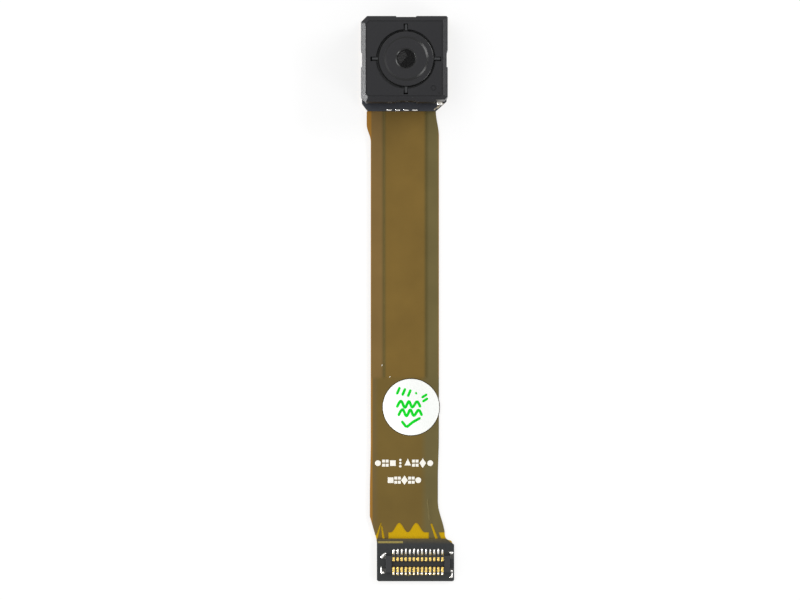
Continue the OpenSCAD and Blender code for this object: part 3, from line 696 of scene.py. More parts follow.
def skin(
    mesh: BMesh,
    loops: Sequence[Sequence[bmesh.types.BMVert]],
    lids: Sequence[Sequence[bmesh.types.BMVert]],
) -> None:
    """Join closed loops of points in turn, and close some of them with a flat face.

    Args:
        mesh: The mesh that holds the points.
        loops: The loops in order, all with the same number of points.
        lids: The loops to close.
    """
    for a, b in zip(loops, loops[1:]):
        for i in range(len(a)):
            j = (i + 1) % len(a)
            mesh.faces.new((a[i], a[j], b[j], b[i]))
    for lid in lids:
        mesh.faces.new(lid)


def add_bead(
    mesh: BMesh, path: Sequence[Point], width: float, height: float, low: float, blunt: float = 1.0
) -> None:
    """Add a low rounded bead along a path that lies flat, such as a stroke of ink.

    Args:
        mesh: The mesh that takes it.
        path: Stations along the middle of the bead, in metres.
        width: Width of the bead.
        height: Height of its middle.
        low: Height of the surface that it lies on.
        blunt: How far the ends round off, in half widths, or 0 for square ends.
    """
    section = [(-0.5, 0.0), (-0.42, 0.7), (0.0, 1.0), (0.42, 0.7), (0.5, 0.0)]
    lengths = [0.0]
    for a, b in zip(path, path[1:]):
        lengths.append(lengths[-1] + math.dist(a, b))
    total = lengths[-1]
    rings = []
    for i, (x, y) in enumerate(path):
        before, after = path[max(i - 1, 0)], path[min(i + 1, len(path) - 1)]
        dx, dy = after[0] - before[0], after[1] - before[1]
        norm = math.hypot(dx, dy) or 1.0
        nx, ny = -dy / norm, dx / norm
        taper = 1.0
        if blunt:
            near = min(lengths[i], total - lengths[i]) / (blunt * width / 2)
            taper = max(math.sqrt(1 - (1 - min(near, 1.0)) ** 2), 0.25)
        rings.append(
            [
                mesh.verts.new(
                    (x + nx * width * taper * u, y + ny * width * taper * u, low + height * taper * v)
                )
                for u, v in section
            ]
        )
    skin(mesh, rings, (rings[0], rings[-1]))


def add_lump(
    mesh: BMesh,
    middle: Place,
    size: Place,
    draw: random.Random,
    ragged: float = 0.1,
    turn: float = 0.0,
    squareness: float = 2.4,
) -> None:
    """Add a drop of solder or residue that has spread on a surface.

    Args:
        mesh: The mesh that takes it.
        middle: Middle of its foot, in metres.
        size: Its length, width and height, in metres.
        draw: Where its small irregularities come from.
        ragged: How uneven its outline is, from 0 to 1.
        turn: Its direction in radians.
        squareness: 2 for an oval foot, and more for a squarer one.
    """
    around, rings = 28, 7
    # A drop's profile: flat-topped, and steep where it meets the surface.
    flat, steep = 2.6, 0.62
    waves = [(k, draw.uniform(-1, 1) / k, draw.uniform(0, 2 * math.pi)) for k in range(2, 7)]
    c, s = math.cos(turn), math.sin(turn)

    def at(angle: float, share: float) -> Place:
        """Place on the drop at an angle, and at a share of the way out."""
        wave = 1 + ragged * sum(a * math.cos(k * angle + p) for k, a, p in waves)
        reach = wave / (
            abs(math.cos(angle)) ** squareness + abs(math.sin(angle)) ** squareness
        ) ** (1 / squareness)
        u = size[0] / 2 * reach * share * math.cos(angle)
        v = size[1] / 2 * reach * share * math.sin(angle)
        rise = (1 - share**flat) ** steep
        return middle[0] + u * c - v * s, middle[1] + u * s + v * c, middle[2] + size[2] * rise

    steps = [2 * math.pi * i / around for i in range(around)]
    loops = [
        [mesh.verts.new(at(angle, math.sin(math.pi / 2 * (1 - k / rings)))) for angle in steps]
        for k in range(rings)
    ]
    top = mesh.verts.new(at(0.0, 0.0))
    skin(mesh, loops, (loops[0],))
    for i in range(around):
        mesh.faces.new((loops[-1][i], loops[-1][(i + 1) % around], top))


def rounded_profile(corners: Sequence[Point], radius: float, steps: int = 5) -> list[Point]:
    """Round the corners of an open profile, as a strip is bent over a tool.

    Args:
        corners: The profile's ends and corners.
        radius: Radius of each bend, along the middle of the strip.
        steps: Facets in each bend.

    Returns:
        The profile with its bends.
    """
    path = [corners[0]]
    for before, at, after in zip(corners, corners[1:], corners[2:]):
        a = Vector(before) - Vector(at)
        b = Vector(after) - Vector(at)
        reach = min(radius, a.length / 2, b.length / 2)
        start, end = Vector(at) + a.normalized() * reach, Vector(at) + b.normalized() * reach
        for i in range(steps + 1):
            t = i / steps
            p = start * (1 - t) ** 2 + Vector(at) * 2 * t * (1 - t) + end * t * t
            path.append((p.x, p.y))
    path.append(corners[-1])
    return path


def add_strip(mesh: BMesh, profile: Sequence[Point], left: float, right: float, thick: float) -> None:
    """Add a bent strip whose profile lies in the YZ plane.

    Args:
        mesh: The mesh that takes it.
        profile: Stations (y, z) along the strip's middle, in metres.
        left: Lowest X of the strip.
        right: Highest X of the strip.
        thick: Thickness of the strip.
    """
    rings = []
    for i, (y, z) in enumerate(profile):
        before, after = profile[max(i - 1, 0)], profile[min(i + 1, len(profile) - 1)]
        dy, dz = after[0] - before[0], after[1] - before[1]
        norm = math.hypot(dy, dz)
        ny, nz = -dz / norm * thick / 2, dy / norm * thick / 2
        rings.append(
            [
                mesh.verts.new(p)
                for p in (
                    (left, y - ny, z - nz),
                    (right, y - ny, z - nz),
                    (right, y + ny, z + nz),
                    (left, y + ny, z + nz),
                )
            ]
        )
    skin(mesh, rings, (rings[0], rings[-1]))


def add_disc(mesh: BMesh, middle: Place, radius: float, height: float, edge: float) -> None:
    """Add a flat disc with a rounded upper edge.

    Args:
        mesh: The mesh that takes it.
        middle: Middle of its foot, in metres.
        radius: Its radius.
        height: Its thickness.
        edge: Radius of its upper edge.
    """
    around = 96
    outline = [(radius, 0.0), (radius, height - edge)]
    outline += [
        (radius - edge * (1 - math.cos(a)), height - edge * (1 - math.sin(a)))
        for a in (math.pi / 6, math.pi / 3, math.pi / 2)
    ]
    loops = [
        [
            mesh.verts.new((middle[0] + x, middle[1] + y, middle[2] + z))
            for x, y in polygon(around, r, 0.0)
        ]
        for r, z in outline
    ]
    skin(mesh, loops, (loops[-1], loops[0]))


def polygon(sides: int, radius: float, first: float) -> list[Point]:
    """Give a regular polygon's corners about the origin.

    Args:
        sides: Number of corners.
        radius: Distance of the corners from the middle.
        first: Direction of the first corner, in radians.

    Returns:
        The corners, anticlockwise.
    """
    angles = [first + 2 * math.pi * i / sides for i in range(sides)]
    return [(radius * math.cos(a), radius * math.sin(a)) for a in angles]


def add_plate(mesh: BMesh, outline: Sequence[Point], low: float, height: float) -> None:
    """Add a flat layer of the given outline, its top a little smaller than its foot.

    Args:
        mesh: The mesh that takes it.
        outline: Corners of the layer, anticlockwise, in metres.
        low: Height of the surface that it lies on.
        height: Thickness of the layer.
    """
    count = len(outline)
    mid = [sum(p[a] for p in outline) / count for a in (0, 1)]
    foot = [mesh.verts.new((x, y, low)) for x, y in outline]
    shrink = 0.94
    top = [
        mesh.verts.new((mid[0] + (x - mid[0]) * shrink, mid[1] + (y - mid[1]) * shrink, low + height))
        for x, y in outline
    ]
    skin(mesh, (foot, top), (top, foot))


# ---------- sub-assemblies ----------


@dataclass
class FlexibleCircuit:
    """The long laminate: bare film, coverlay, crease and lint.

    Attributes:
        margin: Colour of the coverlay beside the copper ground plane, left and right.
        ground: Colour of the coverlay over the copper ground plane.
        plain: Colour past the ground plane, at the left and in the middle.
        seam: Colour of the dark line at the ground plane's edges.
        edge: Colour of the film's translucent cut edge.
        inset: Distance from the plug board's left edge out to the circuit's, in millimetres.
        width: Width of the circuit, in millimetres.
        cut: Width of the translucent edge, in millimetres.
        land: Distance of the ground plane's edges from the circuit's left and right edges, in
            millimetres.
        left_steps: Where the margin's colour ends, the seam's lies and the ground's starts, from
            the ground plane's left edge, in millimetres.
        right_steps: The same at its right edge, where the ground's colour comes first.
        bare: Length past the label at which the copper ground plane stops, in millimetres.
        crease: Ends of the fold mark near the plug, in millimetres from the plug board's
            upper right corner.
        bow: How far the fold mark's middle bows to the left, in millimetres.
        fold: Width and height of the fold mark, in millimetres.
        specks: Lint on the run, in millimetres from the label's middle.
        speck_size: Length, width and height of a speck, in millimetres.
    """

    margin: tuple[str, str] = ("#785F35", "#675C38")
    ground: str = "#745C2A"
    seam: str = "#5A4F2A"
    edge: str = "#9A6E2A"
    plain: tuple[str, str] = ("#6B5A37", "#6D592B")
    inset: float = 0.6
    width: float = 6.72
    cut: float = 0.1
    land: Point = (1.36, 1.35)
    left_steps: Place = (-0.35, -0.05, 0.2)
    right_steps: Place = (-0.2, 0.1, 0.4)
    bare: float = 0.1
    crease: tuple[Point, Point] = ((-2.59, 3.98), (-2.34, 1.52))
    bow: float = 0.06
    fold: Point = (0.16, 0.03)
    specks: tuple[Point, ...] = ((-2.87, 4.13), (-2.08, 2.99))
    speck_size: Place = (0.16, 0.09, 0.03)

    def build(self) -> None:
        """Dress the films and add what lies on them."""
        dress("base_film", POLYIMIDE, 0.008)
        dress("cover_film", self.coverlay(), 0.008)
        self.add_crease()
        self.add_lint()

    def coverlay(self) -> Laminate:
        """Describe the coverlay: brown polyimide over copper, banded as the copper is."""
        flex_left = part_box("plug_board")[0].x - self.inset * MM
        flex_right = flex_left + self.width * MM
        ground_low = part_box("inspection_label")[1].y + self.bare * MM
        width = self.width
        left = [self.land[0] + shift for shift in self.left_steps]
        right = [width - self.land[1] + shift for shift in self.right_steps]
        bands = (
            (0.0, self.edge),
            (self.cut, self.margin[0]),
            *zip(left, (self.margin[0], self.seam, self.ground)),
            *zip(right, (self.ground, self.seam, self.margin[1])),
            (width - self.cut, self.margin[1]),
            (width, self.edge),
        )
        plain = (
            (0.0, self.edge),
            (0.12, self.edge),
            (0.2, self.plain[0]),
            (0.8, self.plain[1]),
            (width - 1.8, self.plain[1]),
            (width - 1.2, self.margin[1]),
            (width, self.margin[1]),
        )
        return Laminate(
            "brown_polyimide_coverlay",
            self.ground,
            0.42,
            specular=0.1,
            grain_mm=0.1,
            mottle=0.07,
            relief_mm=0.002,
            left=flex_left,
            right=flex_right,
            ground_end=ground_low,
            bands=bands,
            plain=plain,
        )

    def add_crease(self) -> None:
        """Raise the fold mark where the circuit was bent beside the plug."""
        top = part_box("sensor_board")[0].z
        start, end = about(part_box("plug_board")[1], self.crease)
        middle = ((start[0] + end[0]) / 2 - self.bow * MM, (start[1] + end[1]) / 2)
        width, height = self.fold
        mesh = bmesh.new()
        path = smooth_path([start, middle, end], 8)
        add_bead(mesh, path, width * MM, height * MM, top, blunt=6.0)
        piece("film_crease", mesh, self.coverlay(), FIXED)

    def add_lint(self) -> None:
        """Drop the few pale specks on the run."""
        draw = random.Random(11)
        low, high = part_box("inspection_label")
        middle = (low + high) / 2
        mesh = bmesh.new()
        for x, y in about(middle, self.specks):
            add_lump(
                mesh,
                (x, y, low.z),
                metres(self.speck_size),
                draw,
                ragged=0.4,
                turn=draw.uniform(0, math.pi),
            )
        piece("lint_specks", mesh, LINT, FIXED)


class Mark(Enum):
    """A plain process mark of the legend: a filled figure, with no meaning as a character."""

    SQUARE = "square"
    DIAMOND = "diamond"
    DISC = "disc"
    TRIANGLE = "triangle"
    GRID = "grid"
    DOTS = "dots"


# The marks of the legend's upper and lower row.
LONG_ROW = "disc grid square dots triangle grid diamond disc"
SHORT_ROW = "square grid diamond grid disc"


@dataclass
class Legend:
    """Two printed rows of plain process marks below the label.

    Attributes:
        rows: For each row its middle from the label's middle, its width and its marks.
        height: Height of a row, in millimetres.
        ink: Thickness of the ink, in millimetres.
    """

    rows: tuple[tuple[float, float, float, tuple[Mark, ...]], ...] = (
        (-0.69, -5.53, 5.9, tuple(map(Mark, LONG_ROW.split()))),
        (-0.65, -7.21, 3.4, tuple(map(Mark, SHORT_ROW.split()))),
    )
    height: float = 0.92
    ink: float = 0.012

    def build(self) -> None:
        """Print both rows as one layer of ink."""
        low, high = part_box("inspection_label")
        middle = (low + high) / 2
        mesh = bmesh.new()
        for x, y, width, marks in self.rows:
            pitch = width / len(marks)
            for i, mark in enumerate(marks):
                at = (middle.x + (x + (i - (len(marks) - 1) / 2) * pitch) * MM, middle.y + y * MM)
                for outline in self.outlines(mark):
                    places = [(at[0] + u * MM, at[1] + v * MM) for u, v in outline]
                    add_plate(mesh, places, low.z, self.ink * MM)
        piece("printed_marks", mesh, LEGEND_INK, FIXED, smooth=False)

    def outlines(self, mark: Mark) -> list[list[Point]]:
        """Give the closed outlines of one mark, in millimetres from its middle."""
        half = self.height / 2
        if mark is Mark.SQUARE:
            return [polygon(4, half * 0.85, math.pi / 4)]
        if mark is Mark.DIAMOND:
            return [[(u * 0.72, v) for u, v in polygon(4, half, 0.0)]]
        if mark is Mark.TRIANGLE:
            return [[(u * 0.8, v) for u, v in polygon(3, half, math.pi / 2)]]
        if mark is Mark.DISC:
            return [polygon(24, half * 0.62, 0.0)]
        if mark is Mark.GRID:
            columns, rows, sides, size = (-0.38, 0.38), (-0.44, 0.44), 4, 0.44
        else:
            columns, rows, sides, size = (0.0,), (-0.68, 0.0, 0.68), 16, 0.26
        return [
            [(u + half * across, v + half * up) for u, v in polygon(sides, half * size, math.pi / 4)]
            for across in columns
            for up in rows
        ]


@dataclass
class InspectionLabel:
    """The round white label with its pen marks.

    Attributes:
        strokes: Dashes, a dot and a tick of the pen: the width of each, and its path in
            millimetres from the label's middle.
        waves: Wavy lines: first and last place across, place along and half height.
        wave_mm: Width of the wavy lines, in millimetres.
        margin: Width of the dark rim round the label, painted shadow at its edge, in millimetres.
        ink: Thickness of the ink, in millimetres.
        sunk: How far the ink's foot is sunk into the label.
        lip: Rounding of the label's edge, and thickness of the dark rim.
    """

    strokes: tuple[tuple[float, tuple[Point, ...]], ...] = (
        (0.27, ((-1.42, 1.24), (-1.1, 1.98))),
        (0.27, ((-0.88, 1.12), (-0.56, 1.86))),
        (0.27, ((-0.34, 1.0), (-0.02, 1.74))),
        (0.3, ((0.42, 1.3), (0.5, 1.36), (0.6, 1.4))),
        (0.26, ((1.02, 0.92), (1.6, 1.28))),
        (0.26, ((1.1, 0.52), (1.68, 0.88))),
        (0.28, ((-0.95, -1.35), (-0.45, -2.0))),
        (0.28, ((-0.47, -2.02), (0.15, -1.5), (0.95, -1.05))),
    )
    waves: tuple[tuple[float, float, float, float], ...] = (
        (-1.4, 0.95, 0.28, 0.34), (-1.25, 1.1, -0.55, 0.34)
    )
    wave_mm: float = 0.28
    margin: float = 0.07
    ink: float = 0.008
    sunk: float = 0.0005
    lip: float = 0.02

    def build(self) -> None:
        """Stick the label on and mark it."""
        low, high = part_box("inspection_label")
        middle = (low + high) / 2
        radius = (high.x - low.x) / 2
        mesh = bmesh.new()
        foot = (middle.x, middle.y, low.z)
        lip = self.lip * MM
        add_disc(mesh, foot, radius, high.z - low.z - self.ink * MM, lip)
        label = piece("label_disc", mesh, LABEL_STOCK, FIXED)
        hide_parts("inspection_label")
        # A dark rim just wider than the label: painted shadow round its edge.
        rim = bmesh.new()
        add_disc(rim, foot, radius + self.margin * MM, lip, lip / 2)
        piece("label_edge_shadow_rim", rim, LABEL_EDGE_SHADOW, FIXED)
        ink = bmesh.new()
        paths = [(width, points) for width, points in self.strokes]
        paths += [(self.wave_mm, self.wave(*wave)) for wave in self.waves]
        for width, points in paths:
            path = smooth_path(about(middle, points), 7)
            add_bead(ink, path, width * MM, self.ink * MM, high.z - (self.ink + self.sunk) * MM)
        piece("pen_marks", ink, MARKER_INK, FIXED)

    def wave(self, start: float, end: float, along: float, rise: float) -> tuple[Point, ...]:
        """Give a wavy line's turning points.

        Args:
            start: Place across where it starts, in millimetres.
            end: Place across where it ends.
            along: Place along the circuit of its middle.
            rise: Half its height.

        Returns:
            Its turning points.
        """
        turns = 6
        step = (end - start) / turns
        draw = random.Random(73)
        return tuple(
            (
                start + step * (k + draw.uniform(-0.15, 0.15)),
                along + rise * draw.uniform(0.75, 1.2) * (1 if k % 2 else -1),
            )
            for k in range(turns + 1)
        )


@dataclass
class SensorBoard:
    """The board under the lens, with its tinned lands, its sensor and its small parts.

    Attributes:
        lands: Number of tinned lands on the tail.
        land: Length of a land and height of its solder, in millimetres.
        crumbs: Number of flux crumbs.
        crumb: Smallest and largest size of a crumb, in millimetres.
        trail: First crumb's place from the terminal's lower right corner, and the way from it to
            the last, in millimetres.
    """

    lands: int = 4
    land: Point = (0.5, 0.05)
    crumbs: int = 9
    crumb: Point = (0.09, 0.2)
    trail: tuple[Point, Point] = ((0.04, -0.03), (-0.78, -0.52))

    def build(self) -> None:
        """Dress the board and add its solder."""
        dress("back_stiffener", STIFFENER_STEEL, 0.02)
        dress("sensor_board", SOLDER_RESIST, 0.03)
        dress("image_sensor", SILICON)
        dress("bonding_wires", GOLD)
        dress("focus_driver_chip", CHIP_RESIN, 0.02)
        dress("capacitors", CERAMIC, 0.02)
        dress("filter_holder", BARREL_RESIN, 0.03)
        dress("infrared_filter", FILTER_GLASS, 0.02)
        self.tin_lands()
        self.add_residue()

    def tin_lands(self) -> None:
        """Heap solder on each land of the tail."""
        low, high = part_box("soldering_lands")
        draw = random.Random(5)
        width, height = metres(self.land)
        pitch = (high.x - low.x - width) / (self.lands - 1)
        mesh = bmesh.new()
        for i in range(self.lands):
            add_lump(
                mesh,
                (low.x + width / 2 + i * pitch, (low.y + high.y) / 2, low.z),
                (width * draw.uniform(0.9, 1.1), (high.y - low.y) * 1.05, height),
                draw,
                ragged=0.16,
                squareness=3.0,
            )
        lumps = piece("tinned_lands", mesh, SOLDER, FIXED)
        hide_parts("soldering_lands")

    def add_residue(self) -> None:
        """Leave dried flux beside the terminal, on the board's cut corner."""
        low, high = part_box("coil_terminals")
        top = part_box("sensor_board")[1].z
        draw = random.Random(23)
        mesh = bmesh.new()
        (x, y), (run_x, run_y) = self.trail
        for i in range(self.crumbs):
            t = i / (self.crumbs - 1)
            size = draw.uniform(*self.crumb) * MM
            add_lump(
                mesh,
                (
                    high.x + (x + run_x * t + draw.uniform(-0.05, 0.05)) * MM,
                    low.y + (y + run_y * t + draw.uniform(-0.04, 0.04)) * MM,
                    top,
                ),
                (size, size * draw.uniform(0.6, 1.0), size * 0.35),
                draw,
                ragged=0.35,
                turn=draw.uniform(0, math.pi),
            )
        piece("flux_residue", mesh, FLUX, FIXED)


@dataclass
class FocusActuator:
    """The voice-coil drive under its drawn steel cover.

    Attributes:
        burr_shift: Middle of the cover's back recess from the cover's middle, in millimetres.
        burr_reach: Half the recess's length, in millimetres.
        burr: Length, width and height of a burr, in millimetres.
        burr_sunk: How far a burr is set into the cover, in millimetres.
        front_joint: Solder of the front terminal: its middle from the middle of the solder's front
            edge, and its length, width and height, in millimetres.
        back_joint: The same for the back terminal, from the middle of the back edge.
    """

    burr_shift: float = 0.23
    burr_reach: float = 0.97
    burr: Place = (0.1, 0.2, 0.5)
    burr_sunk: float = 0.02
    front_joint: tuple[Point, Place] = ((0.03, 0.2), (0.66, 0.34, 0.36))
    back_joint: tuple[Point, Place] = ((0.0, -0.12), (0.55, 0.24, 0.3))

    def build(self) -> None:
        """Dress the drive and heap the solder at its terminals."""
        dress("actuator_base", HOUSING_RESIN, 0.03)
        dress("lower_springs", SPRING)
        dress("upper_spring", SPRING)
        dress("corner_magnets", MAGNET, 0.03)
        dress("spacer_frame", HOUSING_RESIN)
        dress("actuator_cover", COATED_STEEL, 0.08)
        dress("coil_terminals", TINNED, 0.02)
        dress("coil", WINDING)
        self.solder_terminals()
        self.leave_burrs()

    def solder_terminals(self) -> None:
        """Heap solder where each terminal meets the board."""
        low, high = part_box("terminal_solder")
        draw = random.Random(31)
        mesh = bmesh.new()
        middle = (low.x + high.x) / 2
        for edge, ((x, y), size) in ((low.y, self.front_joint), (high.y, self.back_joint)):
            at = (middle + x * MM, edge + y * MM, low.z)
            add_lump(mesh, at, metres(size), draw, ragged=0.06, squareness=2.8)
        lumps = piece("terminal_solder_fillets", mesh, SOLDER, FIXED)
        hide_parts("terminal_solder")

    def leave_burrs(self) -> None:
        """Leave the press's small burrs at the ends of the cover's back recess."""
        low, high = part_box("actuator_cover")
        middle = (low.x + high.x) / 2 + self.burr_shift * MM
        draw = random.Random(37)
        mesh = bmesh.new()
        sunk = self.burr_sunk * MM
        for side in (-1, 1):
            at = (middle + side * self.burr_reach * MM, high.y - sunk, low.z + sunk)
            add_lump(mesh, at, metres(self.burr), draw, ragged=0.1)
        piece("cover_burrs", mesh, COATED_STEEL, FIXED)


@dataclass
class LensGroup:
    """The barrel, its elements and the carrier that moves them."""

    def build(self) -> None:
        """Dress every part that moves when the lens focuses."""
        dress("lens_carrier", HOUSING_RESIN, 0.02)
        dress("lens_barrel", BARREL_RESIN, 0.02)
        for name in ("lens_front", "lens_second", "lens_third", "lens_rear"):
            dress(name, LENS_RESIN)
        dress("light_stops", STOP_FILM)
        dress("retaining_ring", HOUSING_RESIN, 0.02)


@dataclass
class Plug:
    """The board-to-board plug on its stiffened end.

    Attributes:
        contacts: Contacts in each row.
        contact_mm: Width of a contact.
        strip_mm: Thickness of the contact strip.
        slit_mm: Thickness of the housing's wall outside the contacts' slits.
        bend_mm: Radius of a contact's bends.
        tip_mm: Height of a contact's inner end over the board.
        tail_mm: Height of the solder on a contact's tail.
        blob_mm: Height of the solder at the hold-downs.
        wetted: How far the solder of the upper and of the lower row reaches from the housing.
        blobs: Solder at the hold-downs: middle in millimetres from the housing's middle, size,
            direction in degrees and squareness of its foot.
        seam: The cured adhesive at the board's upper left: first and last place from its left
            edge, and place below its upper edge, in millimetres.
        seam_size: Its width and height, in millimetres.
    """

    contacts: int = 13
    contact_mm: float = 0.2
    strip_mm: float = 0.06
    slit_mm: float = 0.12
    bend_mm: float = 0.09
    tip_mm: float = 0.22
    tail_mm: float = 0.12
    blob_mm: float = 0.16
    wetted: tuple[float, float] = (0.64, 0.3)
    blobs: tuple[tuple[Point, Point, float, float], ...] = (
        ((-3.4, 0.79), (0.74, 0.36), 48.0, 2.2),
        ((-3.6, -0.67), (0.24, 0.78), 4.0, 2.6),
        ((-3.41, -0.88), (0.32, 0.3), 0.0, 2.2),
        ((3.27, 1.05), (0.46, 0.31), 0.0, 2.6),
        ((3.16, -0.73), (0.6, 0.24), 0.0, 3.0),
        ((3.35, -1.08), (0.2, 0.5), 0.0, 3.0),
        ((3.28, -1.3), (0.36, 0.26), 0.0, 2.4),
    )
    seam: Place = (0.11, 2.58, 0.345)
    seam_size: Point = (0.2, 0.012)

    def build(self) -> None:
        """Dress the plug's board and housing, and form its contacts."""
        dress("plug_stiffener", PLUG_LAMINATE, 0.02)
        dress("plug_board", self.pressed_laminate(), 0.03)
        dress("plug_housing", HOUSING_RESIN, 0.015)
        dress("hold_downs", DULLED_NICKEL, 0.015)
        for name, node, side in (
            ("formed_contacts_upper", "upper_contacts", 1),
            ("formed_contacts_lower", "lower_contacts", -1),
        ):
            self.form_contacts(name, node, side)
        self.solder_tails()
        self.solder_hold_downs()
        self.add_adhesive_edge()

    def pressed_laminate(self) -> PressedLaminate:
        """Describe the board's lacquer, stained warm where the circuit was pressed on."""
        return PressedLaminate(
            "black_laminate_with_adhesive_stain",
            PLUG_LAMINATE.colour,
            PLUG_LAMINATE.roughness,
            specular=PLUG_LAMINATE.specular,
            grain_mm=PLUG_LAMINATE.grain_mm,
            mottle=PLUG_LAMINATE.mottle,
            relief_mm=PLUG_LAMINATE.relief_mm,
            edge=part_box("plug_board")[1].y,
        )

    def lefts(self, node: str) -> list[float]:
        """Give the left edge of each contact of a row."""
        low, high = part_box(node)
        pitch = (high.x - low.x - self.contact_mm * MM) / (self.contacts - 1)
        return [low.x + i * pitch for i in range(self.contacts)]

    def form_contacts(self, name: str, node: str, side: int) -> None:
        """Bend one row of contacts over the housing's wall.

        Args:
            name: The new piece's name.
            node: The CAD node that it stands for.
            side: 1 for the row towards the module, -1 for the other.
        """
        low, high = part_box(node)
        inner, outer = (low.y, high.y) if side > 0 else (high.y, low.y)
        width, thick = self.contact_mm * MM, self.strip_mm * MM
        half = thick / 2
        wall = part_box("plug_housing")[1 if side > 0 else 0].y
        rise = wall - side * (self.slit_mm * MM + half) if side > 0 else wall - side * half
        foot, crest = low.z + half, high.z - half
        floor = low.z + self.tip_mm * MM
        corners = [
            (outer, foot),
            (rise, foot),
            (rise, crest),
            (inner + side * half, crest),
            (inner + side * half, floor),
        ]
        profile = rounded_profile(corners, self.bend_mm * MM)
        mesh = bmesh.new()
        for left in self.lefts(node):
            add_strip(mesh, profile, left, left + width, thick)
        row = piece(name, mesh, GOLD, FIXED)
        soften(row, 0.012)
        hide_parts(node)

    def solder_tails(self) -> None:
        """Wet each contact's tail with solder."""
        draw = random.Random(47)
        mesh = bmesh.new()
        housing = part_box("plug_housing")
        width = self.contact_mm * MM
        for node, side, reach in (
            ("upper_contacts", 1, self.wetted[0]), ("lower_contacts", -1, self.wetted[1])
        ):
            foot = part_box(node)[0].z
            wall = housing[1 if side > 0 else 0].y
            for left in self.lefts(node):
                length = reach * draw.uniform(0.92, 1.06) * MM
                start = wall - side * self.slit_mm * MM
                end = wall + side * length
                add_lump(
                    mesh,
                    (left + width / 2, (start + end) / 2, foot),
                    (
                        width * draw.uniform(0.95, 1.3),
                        abs(end - start),
                        self.tail_mm * MM * draw.uniform(0.85, 1.1),
                    ),
                    draw,
                    ragged=0.1,
                    squareness=2.8,
                )
        piece("solder_on_tails", mesh, SOLDER, FIXED)

    def solder_hold_downs(self) -> None:
        """Heap solder over the feet of the straps."""
        low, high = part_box("plug_housing")
        middle = (low + high) / 2
        draw = random.Random(59)
        mesh = bmesh.new()
        for (x, y), (length, width), turn, squareness in self.blobs:
            add_lump(
                mesh,
                (middle.x + x * MM, middle.y + y * MM, low.z),
                metres((length, width, self.blob_mm)),
                draw,
                ragged=0.14,
                turn=math.radians(turn),
                squareness=squareness,
            )
        piece("hold_down_solder", mesh, SOLDER, FIXED)

    def add_adhesive_edge(self) -> None:
        """Let cured adhesive show along the board's upper left edge."""
        low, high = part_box("plug_board")
        start, end, drop = self.seam
        steps = 8
        path = [
            (low.x + (start + (end - start) * k / steps) * MM, high.y - drop * MM)
            for k in range(steps + 1)
        ]
        mesh = bmesh.new()
        add_bead(mesh, path, *metres(self.seam_size), high.z, blunt=0.0)
        piece("adhesive_edge", mesh, ADHESIVE, FIXED)


# ---------- studio ----------


@dataclass(frozen=True)
class Softbox:
    """A square soft light that looks at the part.

    Attributes:
        azimuth: Its direction about the part in degrees, 0 to the right and 90 to the back.
        elevation: Its height over the floor in degrees.
        distance: Its distance, in metres.
        width: Its width, in metres.
        height: Its height, in metres.
        level: How brightly it lights white paper that faces it, where 1 is white.
    """

    azimuth: float
    elevation: float
    distance: float
    width: float
    height: float
    level: float

    def place(self, name: str, target: Vector) -> None:
        """Hang the light and aim it at a point."""
        a, e = math.radians(self.azimuth), math.radians(self.elevation)
        way = Vector((math.cos(e) * math.cos(a), math.cos(e) * math.sin(a), math.sin(e)))
        data = bpy.data.lights.new(name, "AREA")
        data.shape = "RECTANGLE"
        data.size, data.size_y = self.width, self.height
        data.energy = self.level * math.pi**2 * self.distance**2
        lamp = bpy.data.objects.new(name, data)
        lamp.location = target + way * self.distance
        lamp.rotation_euler = way.to_track_quat("Z", "Y").to_euler()
        lamp.visible_camera = False
        bpy.context.scene.collection.objects.link(lamp)


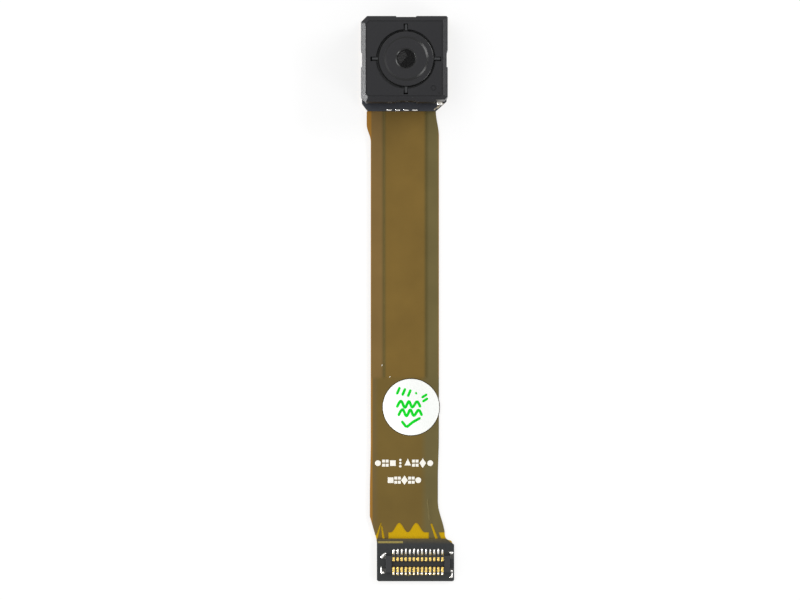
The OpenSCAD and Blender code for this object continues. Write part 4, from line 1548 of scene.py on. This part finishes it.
@dataclass
class Studio:
    """A pale floor, soft light and the camera straight above.

    Attributes:
        eye: The camera's place, in millimetres.
        lens: Its focal length for a 36 mm wide sensor, in millimetres.
        ambient: Light from all around, where 1 is white.
        glow: How brightly the floor shows by itself, where 1 is white.
        floor: Half the floor's length, in metres.
        gap: How far the floor lies below the part, in millimetres.
        boxes: The soft lights by name.
    """

    eye: Place = (-0.60, -23.46, 300.0)
    lens: float = 136.7
    ambient: float = 0.58
    glow: float = 0.69
    floor: float = 2.0
    gap: float = 0.01
    boxes: dict[str, Softbox] = field(
        default_factory=lambda: {
            "key": Softbox(140.0, 62.0, 0.7, 0.5, 0.5, 0.25),
            "upper_right_fill": Softbox(30.0, 30.0, 0.6, 0.3, 0.12, 0.34),
            "lower_right_fill": Softbox(-32.0, 26.0, 0.6, 0.25, 0.12, 0.2),
            "left_strip": Softbox(198.0, 2.3, 0.5, 0.5, 0.04, 2.3),
            "right_strip": Softbox(0.0, 2.3, 0.5, 0.4, 0.04, 0.12),
        }
    )

    def build(self) -> None:
        """Set the floor, the world, the lights and the camera."""
        self.lay_floor()
        self.light_world()
        target = Vector((0.0, self.eye[1] * MM, 0.0))
        for name, box in self.boxes.items():
            box.place(name, target)
        self.set_camera()
        bpy.context.scene.view_settings.view_transform = "Standard"

    def lay_floor(self) -> None:
        """Lay the pale floor under the part."""
        mesh = bmesh.new()
        bmesh.ops.create_grid(mesh, x_segments=2, y_segments=2, size=self.floor)
        data = bpy.data.meshes.new("floor")
        mesh.to_mesh(data)
        mesh.free()
        floor = bpy.data.objects.new("floor", data)
        floor.location.z = -self.gap * MM
        made = bpy.data.materials.new("pale_floor")
        made.use_nodes = True
        tree = made.node_tree
        tree.nodes.clear()
        paper = add_node(tree, "ShaderNodeBsdfDiffuse", inputs={"Color": linear("#989898")})
        glow = add_node(
            tree,
            "ShaderNodeEmission",
            inputs={"Color": linear("#FFFFFF"), "Strength": self.seen(tree, self.glow)},
        )
        both = add_node(
            tree, "ShaderNodeAddShader", inputs={0: paper.outputs["BSDF"], 1: glow.outputs["Emission"]}
        )
        add_node(tree, "ShaderNodeOutputMaterial", inputs={"Surface": both.outputs["Shader"]})
        data.materials.append(made)
        bpy.context.scene.collection.objects.link(floor)

    def seen(self, tree: Tree, strength: float) -> Socket:
        """Give a strength to what is seen directly, in a gloss or through glass, and 0 to light."""
        path = add_node(tree, "ShaderNodeLightPath")
        total = path.outputs["Is Camera Ray"]
        for name in ("Is Glossy Ray", "Is Transmission Ray"):
            total = add_node(
                tree,
                "ShaderNodeMath",
                {"operation": "ADD", "use_clamp": True},
                {0: total, 1: path.outputs[name]},
            ).outputs["Value"]
        scaled = add_node(tree, "ShaderNodeMath", {"operation": "MULTIPLY"}, {0: total, 1: strength})
        return scaled.outputs["Value"]

    def light_world(self) -> None:
        """Light the part evenly from all around, and show white behind it."""
        world = bpy.data.worlds.new("studio")
        bpy.context.scene.world = world
        world.use_nodes = True
        tree = world.node_tree
        tree.nodes.clear()
        strength = add_node(
            tree,
            "ShaderNodeMath",
            {"operation": "ADD"},
            {0: self.seen(tree, 1.0 - self.ambient), 1: self.ambient},
        )
        back = add_node(
            tree,
            "ShaderNodeBackground",
            inputs={"Color": linear("#FFFFFF"), "Strength": strength.outputs["Value"]},
        )
        add_node(tree, "ShaderNodeOutputWorld", inputs={"Surface": back.outputs["Background"]})

    def set_camera(self) -> None:
        """Look straight down from above the circuit."""
        data = bpy.data.cameras.new("camera")
        data.lens = self.lens
        data.sensor_width = 36.0
        data.clip_start = 0.01
        camera = bpy.data.objects.new("camera", data)
        camera.location = Vector(self.eye) * MM
        bpy.context.scene.collection.objects.link(camera)
        bpy.context.scene.camera = camera


def main() -> None:
    """Build the part and its studio in order."""
    logging.basicConfig(level=logging.INFO, format="%(message)s")
    builders: list[Callable[[], None]] = [
        FlexibleCircuit().build,
        Legend().build,
        InspectionLabel().build,
        SensorBoard().build,
        FocusActuator().build,
        LensGroup().build,
        Plug().build,
        Studio().build,
    ]
    for build in builders:
        build()


if __name__ == "__main__":
    main()
